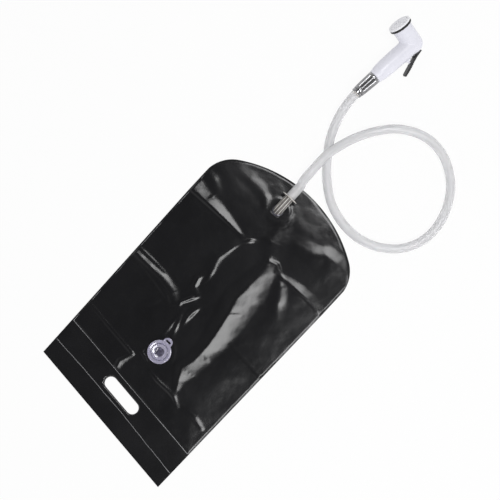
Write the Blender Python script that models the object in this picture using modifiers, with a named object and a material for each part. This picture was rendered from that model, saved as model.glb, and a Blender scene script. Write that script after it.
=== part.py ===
"""Portable camp shower, emptied and laid flat on the ground.

A black film water bag with a hand slot and a fill valve, a clear spout with a hose connector,
a translucent hose, and a white handset with a squeeze lever and its shut-off valve.
Metres, +Z up. +Y runs from the bag's hem towards the handset.
"""
import math

import bmesh
import bpy
from mathutils import Matrix, Quaternion, Vector

# Clearance between two pieces that touch
FIT = 0.0003
# The row's origin is the middle of the floor under the bag and the handset
HEM_TO_ORIGIN = 0.42747

# Water bag, as cut
FILM = 0.0006
BAG_LENGTH = 0.535
BAG_WIDTH = 0.320
CROWN_RADIUS = 0.245
SHOULDER_RADIUS = 0.062
HEADER_LENGTH = 0.077
SLOT_LENGTH = 0.081
SLOT_WIDTH = 0.0226
SLOT_FROM_HEM = 0.0555
SLOT_SIDEWAYS = -0.0015

# How the bag lies: its creases pull the hem narrow and out of square
HEM_DRAW_IN = 0.012
HEM_SKEW = 0.1175
SKEW_REACH = 0.400
SKEW_POWER = 2.5

# Loft of the front film over the back film
FILM_LOFT = 0.0018
RIM_SLOPE = 0.024
CREASE_HEIGHT = 0.0016
CREASE_REACH = 0.020
# Film grid, and the share of its columns that the crown takes between the shoulders
FILM_COLUMNS = 24
FILM_ROWS = 24
CROWN_SHARE = 0.5
# Creases as they lie: start and end, across and from the hem
CREASES = (
    ((-0.153, 0.150), (-0.035, 0.125)),
    ((0.060, 0.121), (0.141, 0.114)),
    ((-0.156, 0.269), (-0.030, 0.270)),
    ((0.078, 0.250), (0.152, 0.244)),
    ((-0.159, 0.400), (-0.039, 0.405)),
    ((0.054, 0.399), (0.159, 0.397)),
    ((0.036, 0.398), (0.041, 0.300)),
    ((0.041, 0.300), (0.055, 0.212)),
    ((0.055, 0.212), (0.064, 0.135)),
    ((-0.030, 0.406), (-0.030, 0.309)),
    ((-0.040, 0.302), (-0.016, 0.223)),
)

# Fill valve
VALVE_FROM_HEM = 0.1565
VALVE_SIDEWAYS = -0.005
FLANGE_THICKNESS = 0.0012
VALVE_FLANGE_RADIUS = 0.026
VALVE_NECK_RADIUS = 0.017
VALVE_BORE_RADIUS = 0.0135
VALVE_NECK_STAND = 0.0025
STOPPER_RADIUS = 0.021
STOPPER_PLATE = 0.0015
STOPPER_CROWN = 0.0012
STOPPER_PLUG = 0.0040
RECESS_RADIUS = 0.008
RECESS_FLOOR = 0.0015
EAR_RADIUS = 0.0085
EAR_REACH = 0.0215
EAR_HOLE_LENGTH = 0.0098
EAR_HOLE_WIDTH = 0.0034

# Outlet at the domed end
OUTLET_FROM_CROWN = 0.057
OUTLET_SIDEWAYS = -0.0205
OUTLET_FLANGE_RADIUS = 0.020
OUTLET_NECK_STAND = 0.0012
SPOUT_RADIUS = 0.00775
SPOUT_WALL = 0.0015
SPOUT_RISE = 0.0050
SPOUT_BEND = 0.0095
SPOUT_STRAIGHT = 0.019
SPOUT_RIBS = 12
RIB_HEIGHT = 0.0005
COLLAR_RADIUS = 0.0154
COLLAR_THICKNESS = 0.0016
SHANK_LENGTH = 0.016
BARB_LENGTH = 0.026

# Hose
HOSE_RADIUS = 0.008
HOSE_BORE_RADIUS = 0.006
HOSE_START_GAP = 0.0012
HOSE_STEP = 0.032
# Route between the two fittings: across, from the hem, and lift above the ground
ROUTE = (
    (-0.0233, 0.545, 0.0115), (-0.0242, 0.578, 0.0165), (-0.0238, 0.606, 0.0180),
    (-0.0180, 0.6318, 0.0135), (-0.0098, 0.6566, 0.0065), (0.0056, 0.6875, 0.0012),
    (0.0295, 0.7185, 0.0), (0.0555, 0.737, 0.0), (0.0830, 0.747, 0.0),
    (0.1095, 0.7475, 0.0), (0.1345, 0.7405, 0.0), (0.1575, 0.7265, 0.0),
    (0.1745, 0.7105, 0.0), (0.1890, 0.688, 0.0), (0.1990, 0.661, 0.0),
    (0.2025, 0.631, 0.0), (0.1965, 0.601, 0.0), (0.1830, 0.5775, 0.0),
    (0.1670, 0.5615, 0.0), (0.1440, 0.547, 0.0), (0.1110, 0.5375, 0.0),
    (0.0742, 0.5390, 0.0), (0.0402, 0.5502, 0.0), (0.0122, 0.5696, 0.0),
    (-0.0076, 0.5894, 0.0), (-0.0263, 0.6126, 0.0), (-0.0409, 0.6363, 0.0006),
    (-0.0520, 0.6640, 0.0058), (-0.0572, 0.6880, 0.0125),
)

# Handset: its own frame has u along the handle, v towards the spray face
HANDSET_PLACE = (-0.0546, 0.7602, 0.0222)
HANDSET_HEADING = 5.5
HANDSET_DIP = 2.9
HANDSET_ROLL = 23.5
HANDLE_LENGTH = 0.0892
HANDLE_START_RADIUS = 0.0126
HANDLE_GRIP_RADIUS = 0.0160
HEAD_RADIUS = 0.0175
HEAD_HEIGHT = 0.0388
HEAD_CAVITY_RADIUS = 0.015
HEAD_CAVITY_DEPTH = 0.009
WATERWAY_RADIUS = 0.0035

# Hose nut and what it clamps
SPIGOT_RADIUS = 0.0103
SPIGOT_LENGTH = 0.014
NUT_LENGTH = 0.038
NUT_RADIUS = 0.0120
NUT_SMALL_RADIUS = 0.0104
NUT_FLUTES = 12
FLUTE_DEPTH = 0.0006
WASHER_THICKNESS = 0.0020
TAIL_FLANGE_THICKNESS = 0.0020
FERRULE_LENGTH = 0.0048
FERRULE_RADIUS = 0.0099

# Spray face
SEAL_RADIUS = 0.0193
SEAL_THICKNESS = 0.0018
FACE_RADIUS = 0.0204
FACE_THICKNESS = 0.0034
FACE_RIM = 0.0038
FACE_RECESS = 0.0017
SKIRT_WALL = 0.0017
SKIRT_LENGTH = 0.0070
PLATE_THICKNESS = 0.0012
SPRAY_HOLE_RADIUS = 0.0006
SPRAY_RINGS = ((0.0, 1), (0.0042, 6), (0.0084, 12), (0.0126, 18))

# Squeeze lever, in its own frame: a along the lever, b away from the handle
PIVOT_ALONG = 0.077
PIVOT_DEPTH = 0.0145
LEVER_ANGLE = 22.5
LEVER_PRESS = 16.0
LEVER_WIDTH = 0.010
LEVER_OFFSET = 0.0052
LEVER_THICKNESS = 0.0036
LEVER_REACH = 0.0390
LEVER_BOW = 0.0008
LEVER_TIP = 0.0145
LEVER_TIP_OFFSET = 0.0101
LEVER_TIP_THICKNESS = 0.0008
GRIP_RIBS = 9
GRIP_PITCH = 0.0031
GRIP_START = 0.0080
GRIP_DEPTH = 0.0007
WEB_WIDTH = 0.0046
WEB_RADIUS = 0.0032
WEB_HALF_LENGTH = 0.0042
PIN_RADIUS = 0.0015
PIN_LENGTH = 0.0154
LEVER_SLOT_LENGTH = 0.0104

# Shut-off valve across the handle
VALVE_ALONG = 0.065
CHAMBER_RADIUS = 0.0053
CHAMBER_SHOULDER = 0.0003
SPRING_CHAMBER_RADIUS = 0.0047
SPRING_CHAMBER_DEPTH = 0.0118
GLAND_RADIUS = 0.0062
GLAND_TOP = 0.0178
GLAND_LENGTH = 0.0046
STEM_RADIUS = 0.0020
STEM_DISC_RADIUS = 0.0042
STEM_DISC_THICKNESS = 0.0017
STEM_GAP = 0.0004
STEM_WASHER_THICKNESS = 0.0013
SEAT_THICKNESS = 0.0030
SEAT_BORE_RADIUS = 0.0030
ORING_RADIUS = 0.00075
SPRING_WIRE_RADIUS = 0.00035
SPRING_TURNS = 4
SPRING_POINTS = 10

# Sides of a round piece, and the turn that keeps a cutter's corners off the edges of what it cuts
SIDES = 40
OFF_EDGE_TURN = 0.06

PARTS = "portable_shower"
CUTTERS = "cutters"


def clear_scene():
    for thing in list(bpy.data.objects):
        bpy.data.objects.remove(thing, do_unlink=True)


def make_collection(name):
    group = bpy.data.collections.new(name)
    bpy.context.scene.collection.children.link(group)
    return group


def make_material(name, colour, roughness, metallic=0.0, transmission=0.0):
    finish = bpy.data.materials.new(name)
    finish.use_nodes = True
    shader = finish.node_tree.nodes["Principled BSDF"]
    shader.inputs["Base Color"].default_value = (*colour, 1.0)
    shader.inputs["Roughness"].default_value = roughness
    shader.inputs["Metallic"].default_value = metallic
    shader.inputs["Transmission Weight"].default_value = transmission
    finish.diffuse_color = (*colour, 1.0)
    return finish


def add_object(name, data, parent=None, colour=None):
    """Link a new part; it takes a material of its own when a colour is given."""
    part = bpy.data.objects.new(name, data)
    bpy.data.collections[PARTS].objects.link(part)
    part.parent = parent
    if colour:
        data.materials.append(make_material(name, *colour))
    return part


def as_cutter(part):
    """Keep a shape only as a tool for Boolean modifiers."""
    bpy.data.collections[PARTS].objects.unlink(part)
    bpy.data.collections[CUTTERS].objects.link(part)
    part.hide_render = True
    part.display_type = "WIRE"
    return part


def combine(part, tool, operation="DIFFERENCE"):
    change = part.modifiers.new(tool.name, "BOOLEAN")
    change.operation = operation
    change.solver = "EXACT"
    change.object = tool
    return part


def cut(part, tool):
    return combine(part, as_cutter(tool))


def join(part, tool):
    return combine(part, as_cutter(tool), "UNION")


def smooth(part, angle=35.0):
    part.data.shade_smooth()
    part.data.set_sharp_from_angle(angle=math.radians(angle))
    return part


def mesh_from_curve(part):
    """Replace a curve object by its mesh, with the loose caps welded on."""
    bpy.context.view_layer.update()
    evaluated = part.evaluated_get(bpy.context.evaluated_depsgraph_get())
    mesh = bpy.data.meshes.new_from_object(evaluated)
    shape = bmesh.new()
    shape.from_mesh(mesh)
    bmesh.ops.remove_doubles(shape, verts=shape.verts, dist=1e-6)
    bmesh.ops.recalc_face_normals(shape, faces=shape.faces)
    shape.to_mesh(mesh)
    shape.free()
    name, parent, place = part.name, part.parent, part.matrix_basis.copy()
    bpy.data.objects.remove(part, do_unlink=True)
    solid = add_object(name, mesh, parent)
    solid.matrix_basis = place
    return smooth(solid)


def turned(name, profile, parent, place, axis, colour=None, closed=True, steps=SIDES):
    """A turned solid. The profile holds (radius, height), outer side first and running down."""
    mesh = bpy.data.meshes.new(name)
    last = len(profile) - 1
    edges = [(i, i + 1) for i in range(last)]
    if closed:
        edges.append((last, 0))
    mesh.from_pydata([(radius, 0.0, height) for radius, height in profile], edges, [])
    part = add_object(name, mesh, parent, colour)
    part.location = place
    part.rotation_mode = "QUATERNION"
    part.rotation_quaternion = Vector(axis).to_track_quat("Z", "Y")
    screw = part.modifiers.new("turn", "SCREW")
    screw.axis = "Z"
    screw.steps = steps
    screw.render_steps = steps
    screw.use_merge_vertices = True
    screw.merge_threshold = 1e-6
    screw.use_smooth_shade = True
    return part


def off_edge(part):
    """Turn a round piece a little, so its corners stay off the edges of what it meets."""
    part.rotation_quaternion @= Quaternion((0.0, 0.0, 1.0), OFF_EDGE_TURN)
    return part


def ring_profile(outer, inner, top, bottom):
    return [(outer, top), (outer, bottom), (inner, bottom), (inner, top)]


def rod(name, radius, start, end, parent, colour=None, steps=SIDES):
    """A plain round rod between two points of its parent's frame."""
    start, end = Vector(start), Vector(end)
    length = (end - start).length
    profile = [(0.0, length), (radius, length), (radius, 0.0), (0.0, 0.0)]
    part = turned(name, profile, parent, start, end - start, colour, closed=False, steps=steps)
    return off_edge(part)


def outline_solid(name, outlines, thickness, parent, place, colour=None, turn=None):
    """A flat outline, with any holes as further outlines, given a thickness about its plane."""
    curve = bpy.data.curves.new(name, "CURVE")
    curve.dimensions = "2D"
    curve.fill_mode = "BOTH"
    curve.extrude = thickness / 2.0
    for outline in outlines:
        spline = curve.splines.new("POLY")
        spline.points.add(len(outline) - 1)
        for point, (x, y) in zip(spline.points, outline):
            point.co = (x, y, 0.0, 1.0)
        spline.use_cyclic_u = True
    part = add_object(name, curve, parent)
    part.location = place
    if turn is not None:
        part.rotation_mode = "QUATERNION"
        part.rotation_quaternion = turn
    solid = mesh_from_curve(part)
    if colour:
        solid.data.materials.append(make_material(name, *colour))
    return solid


def swept(name, points, radius, parent, colour=None, resolution=4, section=None, scales=None):
    """A solid rod along a list of points, round or with a section curve of its own."""
    curve = bpy.data.curves.new(name, "CURVE")
    curve.dimensions = "3D"
    curve.use_fill_caps = True
    if section:
        curve.bevel_mode = "OBJECT"
        curve.bevel_object = section
    else:
        curve.bevel_depth = radius
        curve.bevel_resolution = resolution
    spline = curve.splines.new("POLY")
    spline.points.add(len(points) - 1)
    for number, point in enumerate(points):
        spline.points[number].co = (*point, 1.0)
        spline.points[number].radius = scales[number] if scales else 1.0
    solid = mesh_from_curve(add_object(name, curve, parent))
    if colour:
        solid.data.materials.append(make_material(name, *colour))
    return solid


def ribbed_section(name, radius, depth, ribs):
    """A closed section curve whose radius steps in and out, four points to a rib."""
    curve = bpy.data.curves.new(name, "CURVE")
    curve.dimensions = "2D"
    curve.fill_mode = "NONE"
    spline = curve.splines.new("POLY")
    count = ribs * 4
    spline.points.add(count - 1)
    for number in range(count):
        angle = 2.0 * math.pi * number / count
        reach = radius if number % 4 < 2 else radius - depth
        spline.points[number].co = (reach * math.cos(angle), reach * math.sin(angle), 0.0, 1.0)
    spline.use_cyclic_u = True
    return as_cutter(add_object(name, curve))


def circle_points(centre, radius, count):
    steps = (2.0 * math.pi * number / count for number in range(count))
    return [(centre[0] + radius * math.cos(a), centre[1] + radius * math.sin(a)) for a in steps]


def stadium_points(length, width, count=12):
    """Outline of a slot with round ends."""
    radius = width / 2.0
    reach = length / 2.0 - radius
    points = []
    for side in (1.0, -1.0):
        for number in range(count + 1):
            angle = math.pi * (number / count - 0.5)
            points.append((side * (reach + radius * math.cos(angle)), side * radius * math.sin(angle)))
    return points


def smooth_route(points, step):
    """Even steps along a smooth curve from the second point to the last but one."""
    fine = []
    for first, second, third, fourth in zip(points, points[1:], points[2:], points[3:]):
        for number in range(24):
            t = number / 24.0
            bend = 2.0 * second + (third - first) * t
            bend += (2.0 * first - 5.0 * second + 4.0 * third - fourth) * t ** 2
            bend += (3.0 * second - first - 3.0 * third + fourth) * t ** 3
            fine.append(0.5 * bend)
    fine.append(points[-2])
    lengths = [0.0]
    for before, after in zip(fine, fine[1:]):
        lengths.append(lengths[-1] + (after - before).length)
    count = round(lengths[-1] / step)
    even = []
    place = 0
    for number in range(count + 1):
        wanted = lengths[-1] * number / count
        while place < len(fine) - 2 and lengths[place + 1] < wanted:
            place += 1
        share = (wanted - lengths[place]) / (lengths[place + 1] - lengths[place])
        even.append(fine[place].lerp(fine[place + 1], share))
    return even, lengths[-1]


def shoulder_centre():
    """Centre of the right shoulder arc, which runs into the crown arc and the straight side."""
    across = BAG_WIDTH / 2.0 - SHOULDER_RADIUS
    rise = math.sqrt((CROWN_RADIUS - SHOULDER_RADIUS) ** 2 - across ** 2)
    return across, BAG_LENGTH - CROWN_RADIUS + rise


def dome_edge(x):
    """Distance from the hem to the cut edge of the domed end."""
    across, along = shoulder_centre()
    handover = CROWN_RADIUS * across / (CROWN_RADIUS - SHOULDER_RADIUS)
    if abs(x) <= handover:
        return BAG_LENGTH - CROWN_RADIUS + math.sqrt(CROWN_RADIUS ** 2 - x ** 2)
    return along + math.sqrt(max(0.0, SHOULDER_RADIUS ** 2 - (abs(x) - across) ** 2))


def lay(x, y):
    """Where a point of the cut bag lies once its creases draw it in."""
    reach = min(1.0, y / SKEW_REACH)
    skew = HEM_SKEW * (1.0 - reach ** SKEW_POWER)
    narrow = 1.0 - (HEM_DRAW_IN / BAG_WIDTH) * (1.0 - reach)
    return x * narrow, y - x * skew


def ease(value):
    value = min(1.0, max(0.0, value))
    return value * value * (3.0 - 2.0 * value)


def crease_lift(x, y):
    """Height that the nearest crease adds at a place of the lying bag."""
    here = Vector((x, y))
    lift = 0.0
    for start, end in CREASES:
        start, end = Vector(start), Vector(end)
        run = end - start
        share = min(1.0, max(0.0, (here - start).dot(run) / run.length_squared))
        gap = (here - start - run * share).length
        lift = max(lift, CREASE_HEIGHT * ease(1.0 - gap / CREASE_REACH))
    return lift


def fitting_places():
    """Lying place and flange radius of the two fittings in the front film."""
    valve = lay(VALVE_SIDEWAYS, VALVE_FROM_HEM)
    outlet = lay(OUTLET_SIDEWAYS, BAG_LENGTH - OUTLET_FROM_CROWN)
    return (valve, VALVE_FLANGE_RADIUS), (outlet, OUTLET_FLANGE_RADIUS)


def film_height(x, y):
    """Underside of the front film above the ground, at a place of the cut bag."""
    rim = min(BAG_WIDTH / 2.0 - abs(x), dome_edge(x) - y, y - HEADER_LENGTH)
    lying = lay(x, y)
    calm = 1.0
    for centre, radius in fitting_places():
        gap = (Vector(lying) - Vector(centre)).length - radius
        calm = min(calm, ease(gap / CREASE_REACH))
    loft = FILM_LOFT + calm * crease_lift(*lying)
    return FILM + FIT + loft * ease(rim / RIM_SLOPE)


def sheet_place(p, q, start):
    """Place on the cut bag for grid coordinates that run from -1 to 1 each way."""
    across, _ = shoulder_centre()
    side = math.copysign(1.0, p)
    if abs(p) <= CROWN_SHARE:
        x = side * across * abs(p) / CROWN_SHARE
    else:
        angle = 0.5 * math.pi * (abs(p) - CROWN_SHARE) / (1.0 - CROWN_SHARE)
        x = side * (across + SHOULDER_RADIUS * math.sin(angle))
    return x, start + (dome_edge(x) - start) * (q + 1.0) / 2.0


def film_sheet(name, start, rows, height, colour, parent):
    """A film of the bag from a distance past the hem to the domed edge."""
    shape = bmesh.new()
    bmesh.ops.create_grid(shape, x_segments=FILM_COLUMNS, y_segments=rows, size=1.0)
    for vertex in shape.verts:
        x, y = sheet_place(vertex.co.x, vertex.co.y, start)
        vertex.co = (*lay(x, y), height(x, y))
    mesh = bpy.data.meshes.new(name)
    shape.to_mesh(mesh)
    shape.free()
    sheet = add_object(name, mesh, parent, colour)
    wall = sheet.modifiers.new("film", "SOLIDIFY")
    wall.thickness = FILM
    wall.offset = 1.0
    return smooth(sheet)


BLACK_FILM = ((0.012, 0.012, 0.014), 0.28)
CLEAR_PVC = ((0.62, 0.60, 0.72), 0.12, 0.0, 0.7)
MILKY_HOSE = ((0.86, 0.87, 0.88), 0.25, 0.0, 0.3)
WHITE_SHELL = ((0.86, 0.86, 0.88), 0.22)
CHROME = ((0.62, 0.62, 0.64), 0.10, 1.0)
BRASS = ((0.72, 0.55, 0.28), 0.25, 1.0)
BLACK_PLASTIC = ((0.02, 0.02, 0.02), 0.45)
BLACK_RUBBER = ((0.015, 0.015, 0.015), 0.70)
STEEL = ((0.55, 0.55, 0.56), 0.22, 1.0)


def film_top():
    """Top of the front film around the fittings."""
    return FILM + FIT + FILM_LOFT + FILM


def build_bag(shower):
    flat = FILM + FIT + FILM
    start = HEADER_LENGTH + FIT
    film_sheet("back_panel", start, 4, lambda x, y: 0.0, BLACK_FILM, shower)
    front = film_sheet("front_panel", start, FILM_ROWS, film_height, BLACK_FILM, shower)
    for (centre, flange), radius in zip(fitting_places(), (VALVE_NECK_RADIUS, SPOUT_RADIUS)):
        low = (*centre, FILM)
        high = (*centre, film_top() + flange)
        cut(front, rod("film_hole", radius + FIT, low, high, shower, steps=32))
    sides = [lay(x, y) for x, y in (
        (-BAG_WIDTH / 2.0, 0.0), (BAG_WIDTH / 2.0, 0.0),
        (BAG_WIDTH / 2.0, HEADER_LENGTH), (-BAG_WIDTH / 2.0, HEADER_LENGTH))]
    slot = [lay(x + SLOT_SIDEWAYS, y + SLOT_FROM_HEM) for x, y in stadium_points(SLOT_LENGTH, SLOT_WIDTH)]
    outline_solid("header_strip", [sides, slot], flat, shower, (0.0, 0.0, flat / 2.0), BLACK_FILM)


def build_fill_valve(shower):
    (centre, flange), _ = fitting_places()
    low = FILM + FIT
    neck = film_top() + VALVE_NECK_STAND
    base = [
        (VALVE_NECK_RADIUS, neck), (VALVE_NECK_RADIUS, low + FLANGE_THICKNESS),
        (flange, low + FLANGE_THICKNESS), (flange, low), (VALVE_BORE_RADIUS, low),
        (VALVE_BORE_RADIUS, neck)]
    turned("fill_valve_base", base, shower, (*centre, 0.0), (0, 0, 1), CLEAR_PVC, steps=48)
    plate_low = neck + FIT
    plate_top = plate_low + STOPPER_PLATE
    crown = plate_top + STOPPER_CROWN
    plug_low = neck - STOPPER_PLUG
    plug = VALVE_BORE_RADIUS - FIT
    stopper = [
        (0.0, plug_low + RECESS_FLOOR), (RECESS_RADIUS, plug_low + RECESS_FLOOR),
        (RECESS_RADIUS, crown), (plug, crown), (plug + STOPPER_CROWN, plate_top),
        (STOPPER_RADIUS - STOPPER_CROWN, plate_top), (STOPPER_RADIUS, plate_top + FIT),
        (STOPPER_RADIUS, plate_low), (plug, plate_low), (plug, plug_low), (0.0, plug_low)]
    cap = turned("fill_stopper", stopper, shower, (*centre, 0.0), (0, 0, 1), CLEAR_PVC,
                 closed=False, steps=48)
    hole = [(x, y + EAR_REACH) for x, y in stadium_points(EAR_HOLE_LENGTH, EAR_HOLE_WIDTH, 6)]
    ear = circle_points((0.0, EAR_REACH), EAR_RADIUS, 28)
    middle = (*centre, plate_low + STOPPER_PLATE / 2.0)
    join(cap, outline_solid("pull_ear", [ear, hole], STOPPER_PLATE, shower, middle))


def spout_path():
    """Middle line of the spout: up out of the flange, over a bend, then along the bag."""
    _, (centre, _) = fitting_places()
    start = film_top() + OUTLET_NECK_STAND + FIT
    bend_low = start + SPOUT_RISE
    points = [Vector((*centre, start))]
    for number in range(9):
        angle = 0.5 * math.pi * number / 8
        forward = SPOUT_BEND * (1.0 - math.cos(angle))
        rise = SPOUT_BEND * math.sin(angle)
        points.append(Vector((centre[0], centre[1] + forward, bend_low + rise)))
    points.append(points[-1] + Vector((0.0, SPOUT_STRAIGHT, 0.0)))
    return points


def build_outlet(shower):
    _, (centre, flange) = fitting_places()
    low = FILM + FIT
    neck = film_top() + OUTLET_NECK_STAND
    bore = SPOUT_RADIUS - SPOUT_WALL
    base = [
        (SPOUT_RADIUS, neck), (SPOUT_RADIUS, low + FLANGE_THICKNESS),
        (flange, low + FLANGE_THICKNESS), (flange, low), (bore, low), (bore, neck)]
    turned("outlet_flange", base, shower, (*centre, 0.0), (0, 0, 1), CLEAR_PVC)
    path = spout_path()
    section = ribbed_section("spout_section", SPOUT_RADIUS, RIB_HEIGHT, SPOUT_RIBS)
    tube = swept("spout_tube", path, SPOUT_RADIUS, shower, CLEAR_PVC, section=section)
    end = Vector((0.0, SPOUT_WALL, 0.0))
    start = Vector((0.0, 0.0, -SPOUT_WALL))
    inside = [path[0] + start] + path + [path[-1] + end]
    cut(tube, swept("spout_bore", inside, bore, shower, resolution=6))
    face = path[-1] + Vector((0.0, FIT, 0.0))
    shank = bore - FIT
    barb = HOSE_BORE_RADIUS - FIT
    waist = barb - 0.0006
    water = barb - 0.0016
    tip = COLLAR_THICKNESS + BARB_LENGTH
    profile = [(waist, tip)]
    for number in range(3):
        top = tip - number * BARB_LENGTH / 4.0
        profile += [(barb, top - BARB_LENGTH / 5.0), (waist, top - BARB_LENGTH / 4.5)]
    profile += [
        (waist, COLLAR_THICKNESS), (COLLAR_RADIUS, COLLAR_THICKNESS), (COLLAR_RADIUS, 0.0),
        (shank, 0.0), (shank, -SHANK_LENGTH), (water, -SHANK_LENGTH), (water, tip)]
    turned("hose_connector", profile, shower, face, (0, 1, 0), CLEAR_PVC)
    return face + Vector((0.0, COLLAR_THICKNESS + HOSE_START_GAP, 0.0))


def build_hose(shower, start, end, ahead):
    """The hose, from its connector to the nut: straight over each barb, curved between."""
    ground = [Vector((x, y, HOSE_RADIUS + lift)) for x, y, lift in ROUTE]
    first = start + Vector((0.0, BARB_LENGTH, 0.0))
    last = end - ahead * BARB_LENGTH
    curved, length = smooth_route([start, first] + ground + [last, end], HOSE_STEP)
    route = [start] + curved + [end]
    hose = swept("hose", route, HOSE_RADIUS, shower, MILKY_HOSE)
    before = start - Vector((0.0, FIT, 0.0))
    after = end + ahead * FIT
    cut(hose, swept("hose_bore", [before] + curved + [after], HOSE_BORE_RADIUS, shower))
    print("hose length", round(length + 2.0 * BARB_LENGTH, 4), "least gap", least_gap(route))


def least_gap(route):
    """Least gap where the hose passes over itself, and where it is."""
    fine = []
    for before, after in zip(route, route[1:]):
        fine += [before.lerp(after, share / 8.0) for share in range(8)]
    apart = 40
    gaps = []
    for number, one in enumerate(fine):
        for other in fine[number + apart:]:
            gaps.append(((one - other).length - 2.0 * HOSE_RADIUS, one))
    gap, place = min(gaps, key=lambda pair: pair[0])
    return round(gap, 5), [round(value, 4) for value in place]


def build_handset_body(handset):
    """White shell: handle, head and spigot in one moulding, with its waterways cut through."""
    grip = [(HEAD_RADIUS - 2 * FIT, HANDLE_LENGTH)]
    shares = ((0.67, HANDLE_GRIP_RADIUS + 0.0003), (0.32, HANDLE_GRIP_RADIUS), (0.14, 0.0147))
    grip += [(radius, HANDLE_LENGTH * share) for share, radius in shares]
    grip += [(HANDLE_START_RADIUS, 0.0008), (HANDLE_START_RADIUS - 0.0008, 0.0)]
    grip += [(SPIGOT_RADIUS, 0.0), (SPIGOT_RADIUS, -SPIGOT_LENGTH)]
    profile = [(0.0, HANDLE_LENGTH)] + grip + [(0.0, -SPIGOT_LENGTH)]
    body = turned("handset_body", profile, handset, (0, 0, 0), (1, 0, 0), WHITE_SHELL, closed=False)
    floor = HEAD_HEIGHT - HEAD_CAVITY_DEPTH
    head = [(0.0, floor), (HEAD_CAVITY_RADIUS, floor), (HEAD_CAVITY_RADIUS, HEAD_HEIGHT),
            (HEAD_RADIUS, HEAD_HEIGHT), (HEAD_RADIUS, 0.0)]
    for number in range(1, 8):
        angle = 0.5 * math.pi * number / 8
        head.append((HEAD_RADIUS * math.cos(angle), -HEAD_RADIUS * math.sin(angle)))
    head.append((0.0, -HEAD_RADIUS))
    elbow = (HANDLE_LENGTH, 0.0, 0.0)
    join(body, turned("head", head, handset, elbow, (0, 1, 0), closed=False))
    cut_waterways(body, handset)
    cut_valve_chamber(body, handset)
    cut_lever_seat(body, handset)
    return body


def cut_waterways(body, handset):
    inlet_end = (VALVE_ALONG, 0.006, 0.0)
    inlet_start = (-SPIGOT_LENGTH - FIT, 0.0, 0.0)
    cut(body, rod("inlet_bore", WATERWAY_RADIUS, inlet_start, inlet_end, handset, steps=20))
    floor = HEAD_HEIGHT - HEAD_CAVITY_DEPTH
    rise = (HANDLE_LENGTH, floor + FIT, 0.0)
    foot = (HANDLE_LENGTH, 0.0, 0.0)
    cut(body, rod("head_bore", WATERWAY_RADIUS, foot, rise, handset, steps=20))
    outlet_start = (VALVE_ALONG, -0.0065, 0.0)
    outlet_end = (HANDLE_LENGTH, WATERWAY_RADIUS, 0.0)
    cut(body, rod("outlet_bore", WATERWAY_RADIUS * 0.8, outlet_start, outlet_end, handset, steps=20))


def cut_valve_chamber(body, handset):
    """One stepped bore: spring chamber, valve chamber and gland seat."""
    outside = -HEAD_RADIUS - 0.003
    gland_floor = GLAND_LENGTH - GLAND_TOP + FIT
    gland = GLAND_RADIUS + FIT
    profile = [
        (0.0, SPRING_CHAMBER_DEPTH), (SPRING_CHAMBER_RADIUS, SPRING_CHAMBER_DEPTH),
        (SPRING_CHAMBER_RADIUS, CHAMBER_SHOULDER), (CHAMBER_RADIUS, CHAMBER_SHOULDER),
        (CHAMBER_RADIUS, gland_floor), (gland, gland_floor), (gland, outside), (0.0, outside)]
    place = (VALVE_ALONG, 0.0, 0.0)
    bore = turned("valve_bore", profile, handset, place, (0, 1, 0), closed=False, steps=28)
    cut(body, off_edge(bore))


def cut_lever_seat(body, handset):
    depth = HEAD_RADIUS + 0.003 - (PIVOT_DEPTH - WEB_RADIUS - 2 * FIT)
    width = WEB_WIDTH + 2 * FIT
    half = LEVER_SLOT_LENGTH / 2.0
    middle = -(PIVOT_DEPTH - WEB_RADIUS - 2 * FIT) - depth / 2.0
    outline = [(PIVOT_ALONG + sx * half, middle + sy * depth / 2.0)
               for sx, sy in ((-1, -1), (1, -1), (1, 1), (-1, 1))]
    cut(body, outline_solid("lever_slot", [outline], width, handset, (0, 0, 0)))
    reach = HEAD_RADIUS
    low = (PIVOT_ALONG, -PIVOT_DEPTH, -reach)
    high = (PIVOT_ALONG, -PIVOT_DEPTH, reach)
    cut(body, rod("pin_hole", PIN_RADIUS + FIT, low, high, handset, steps=16))


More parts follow.
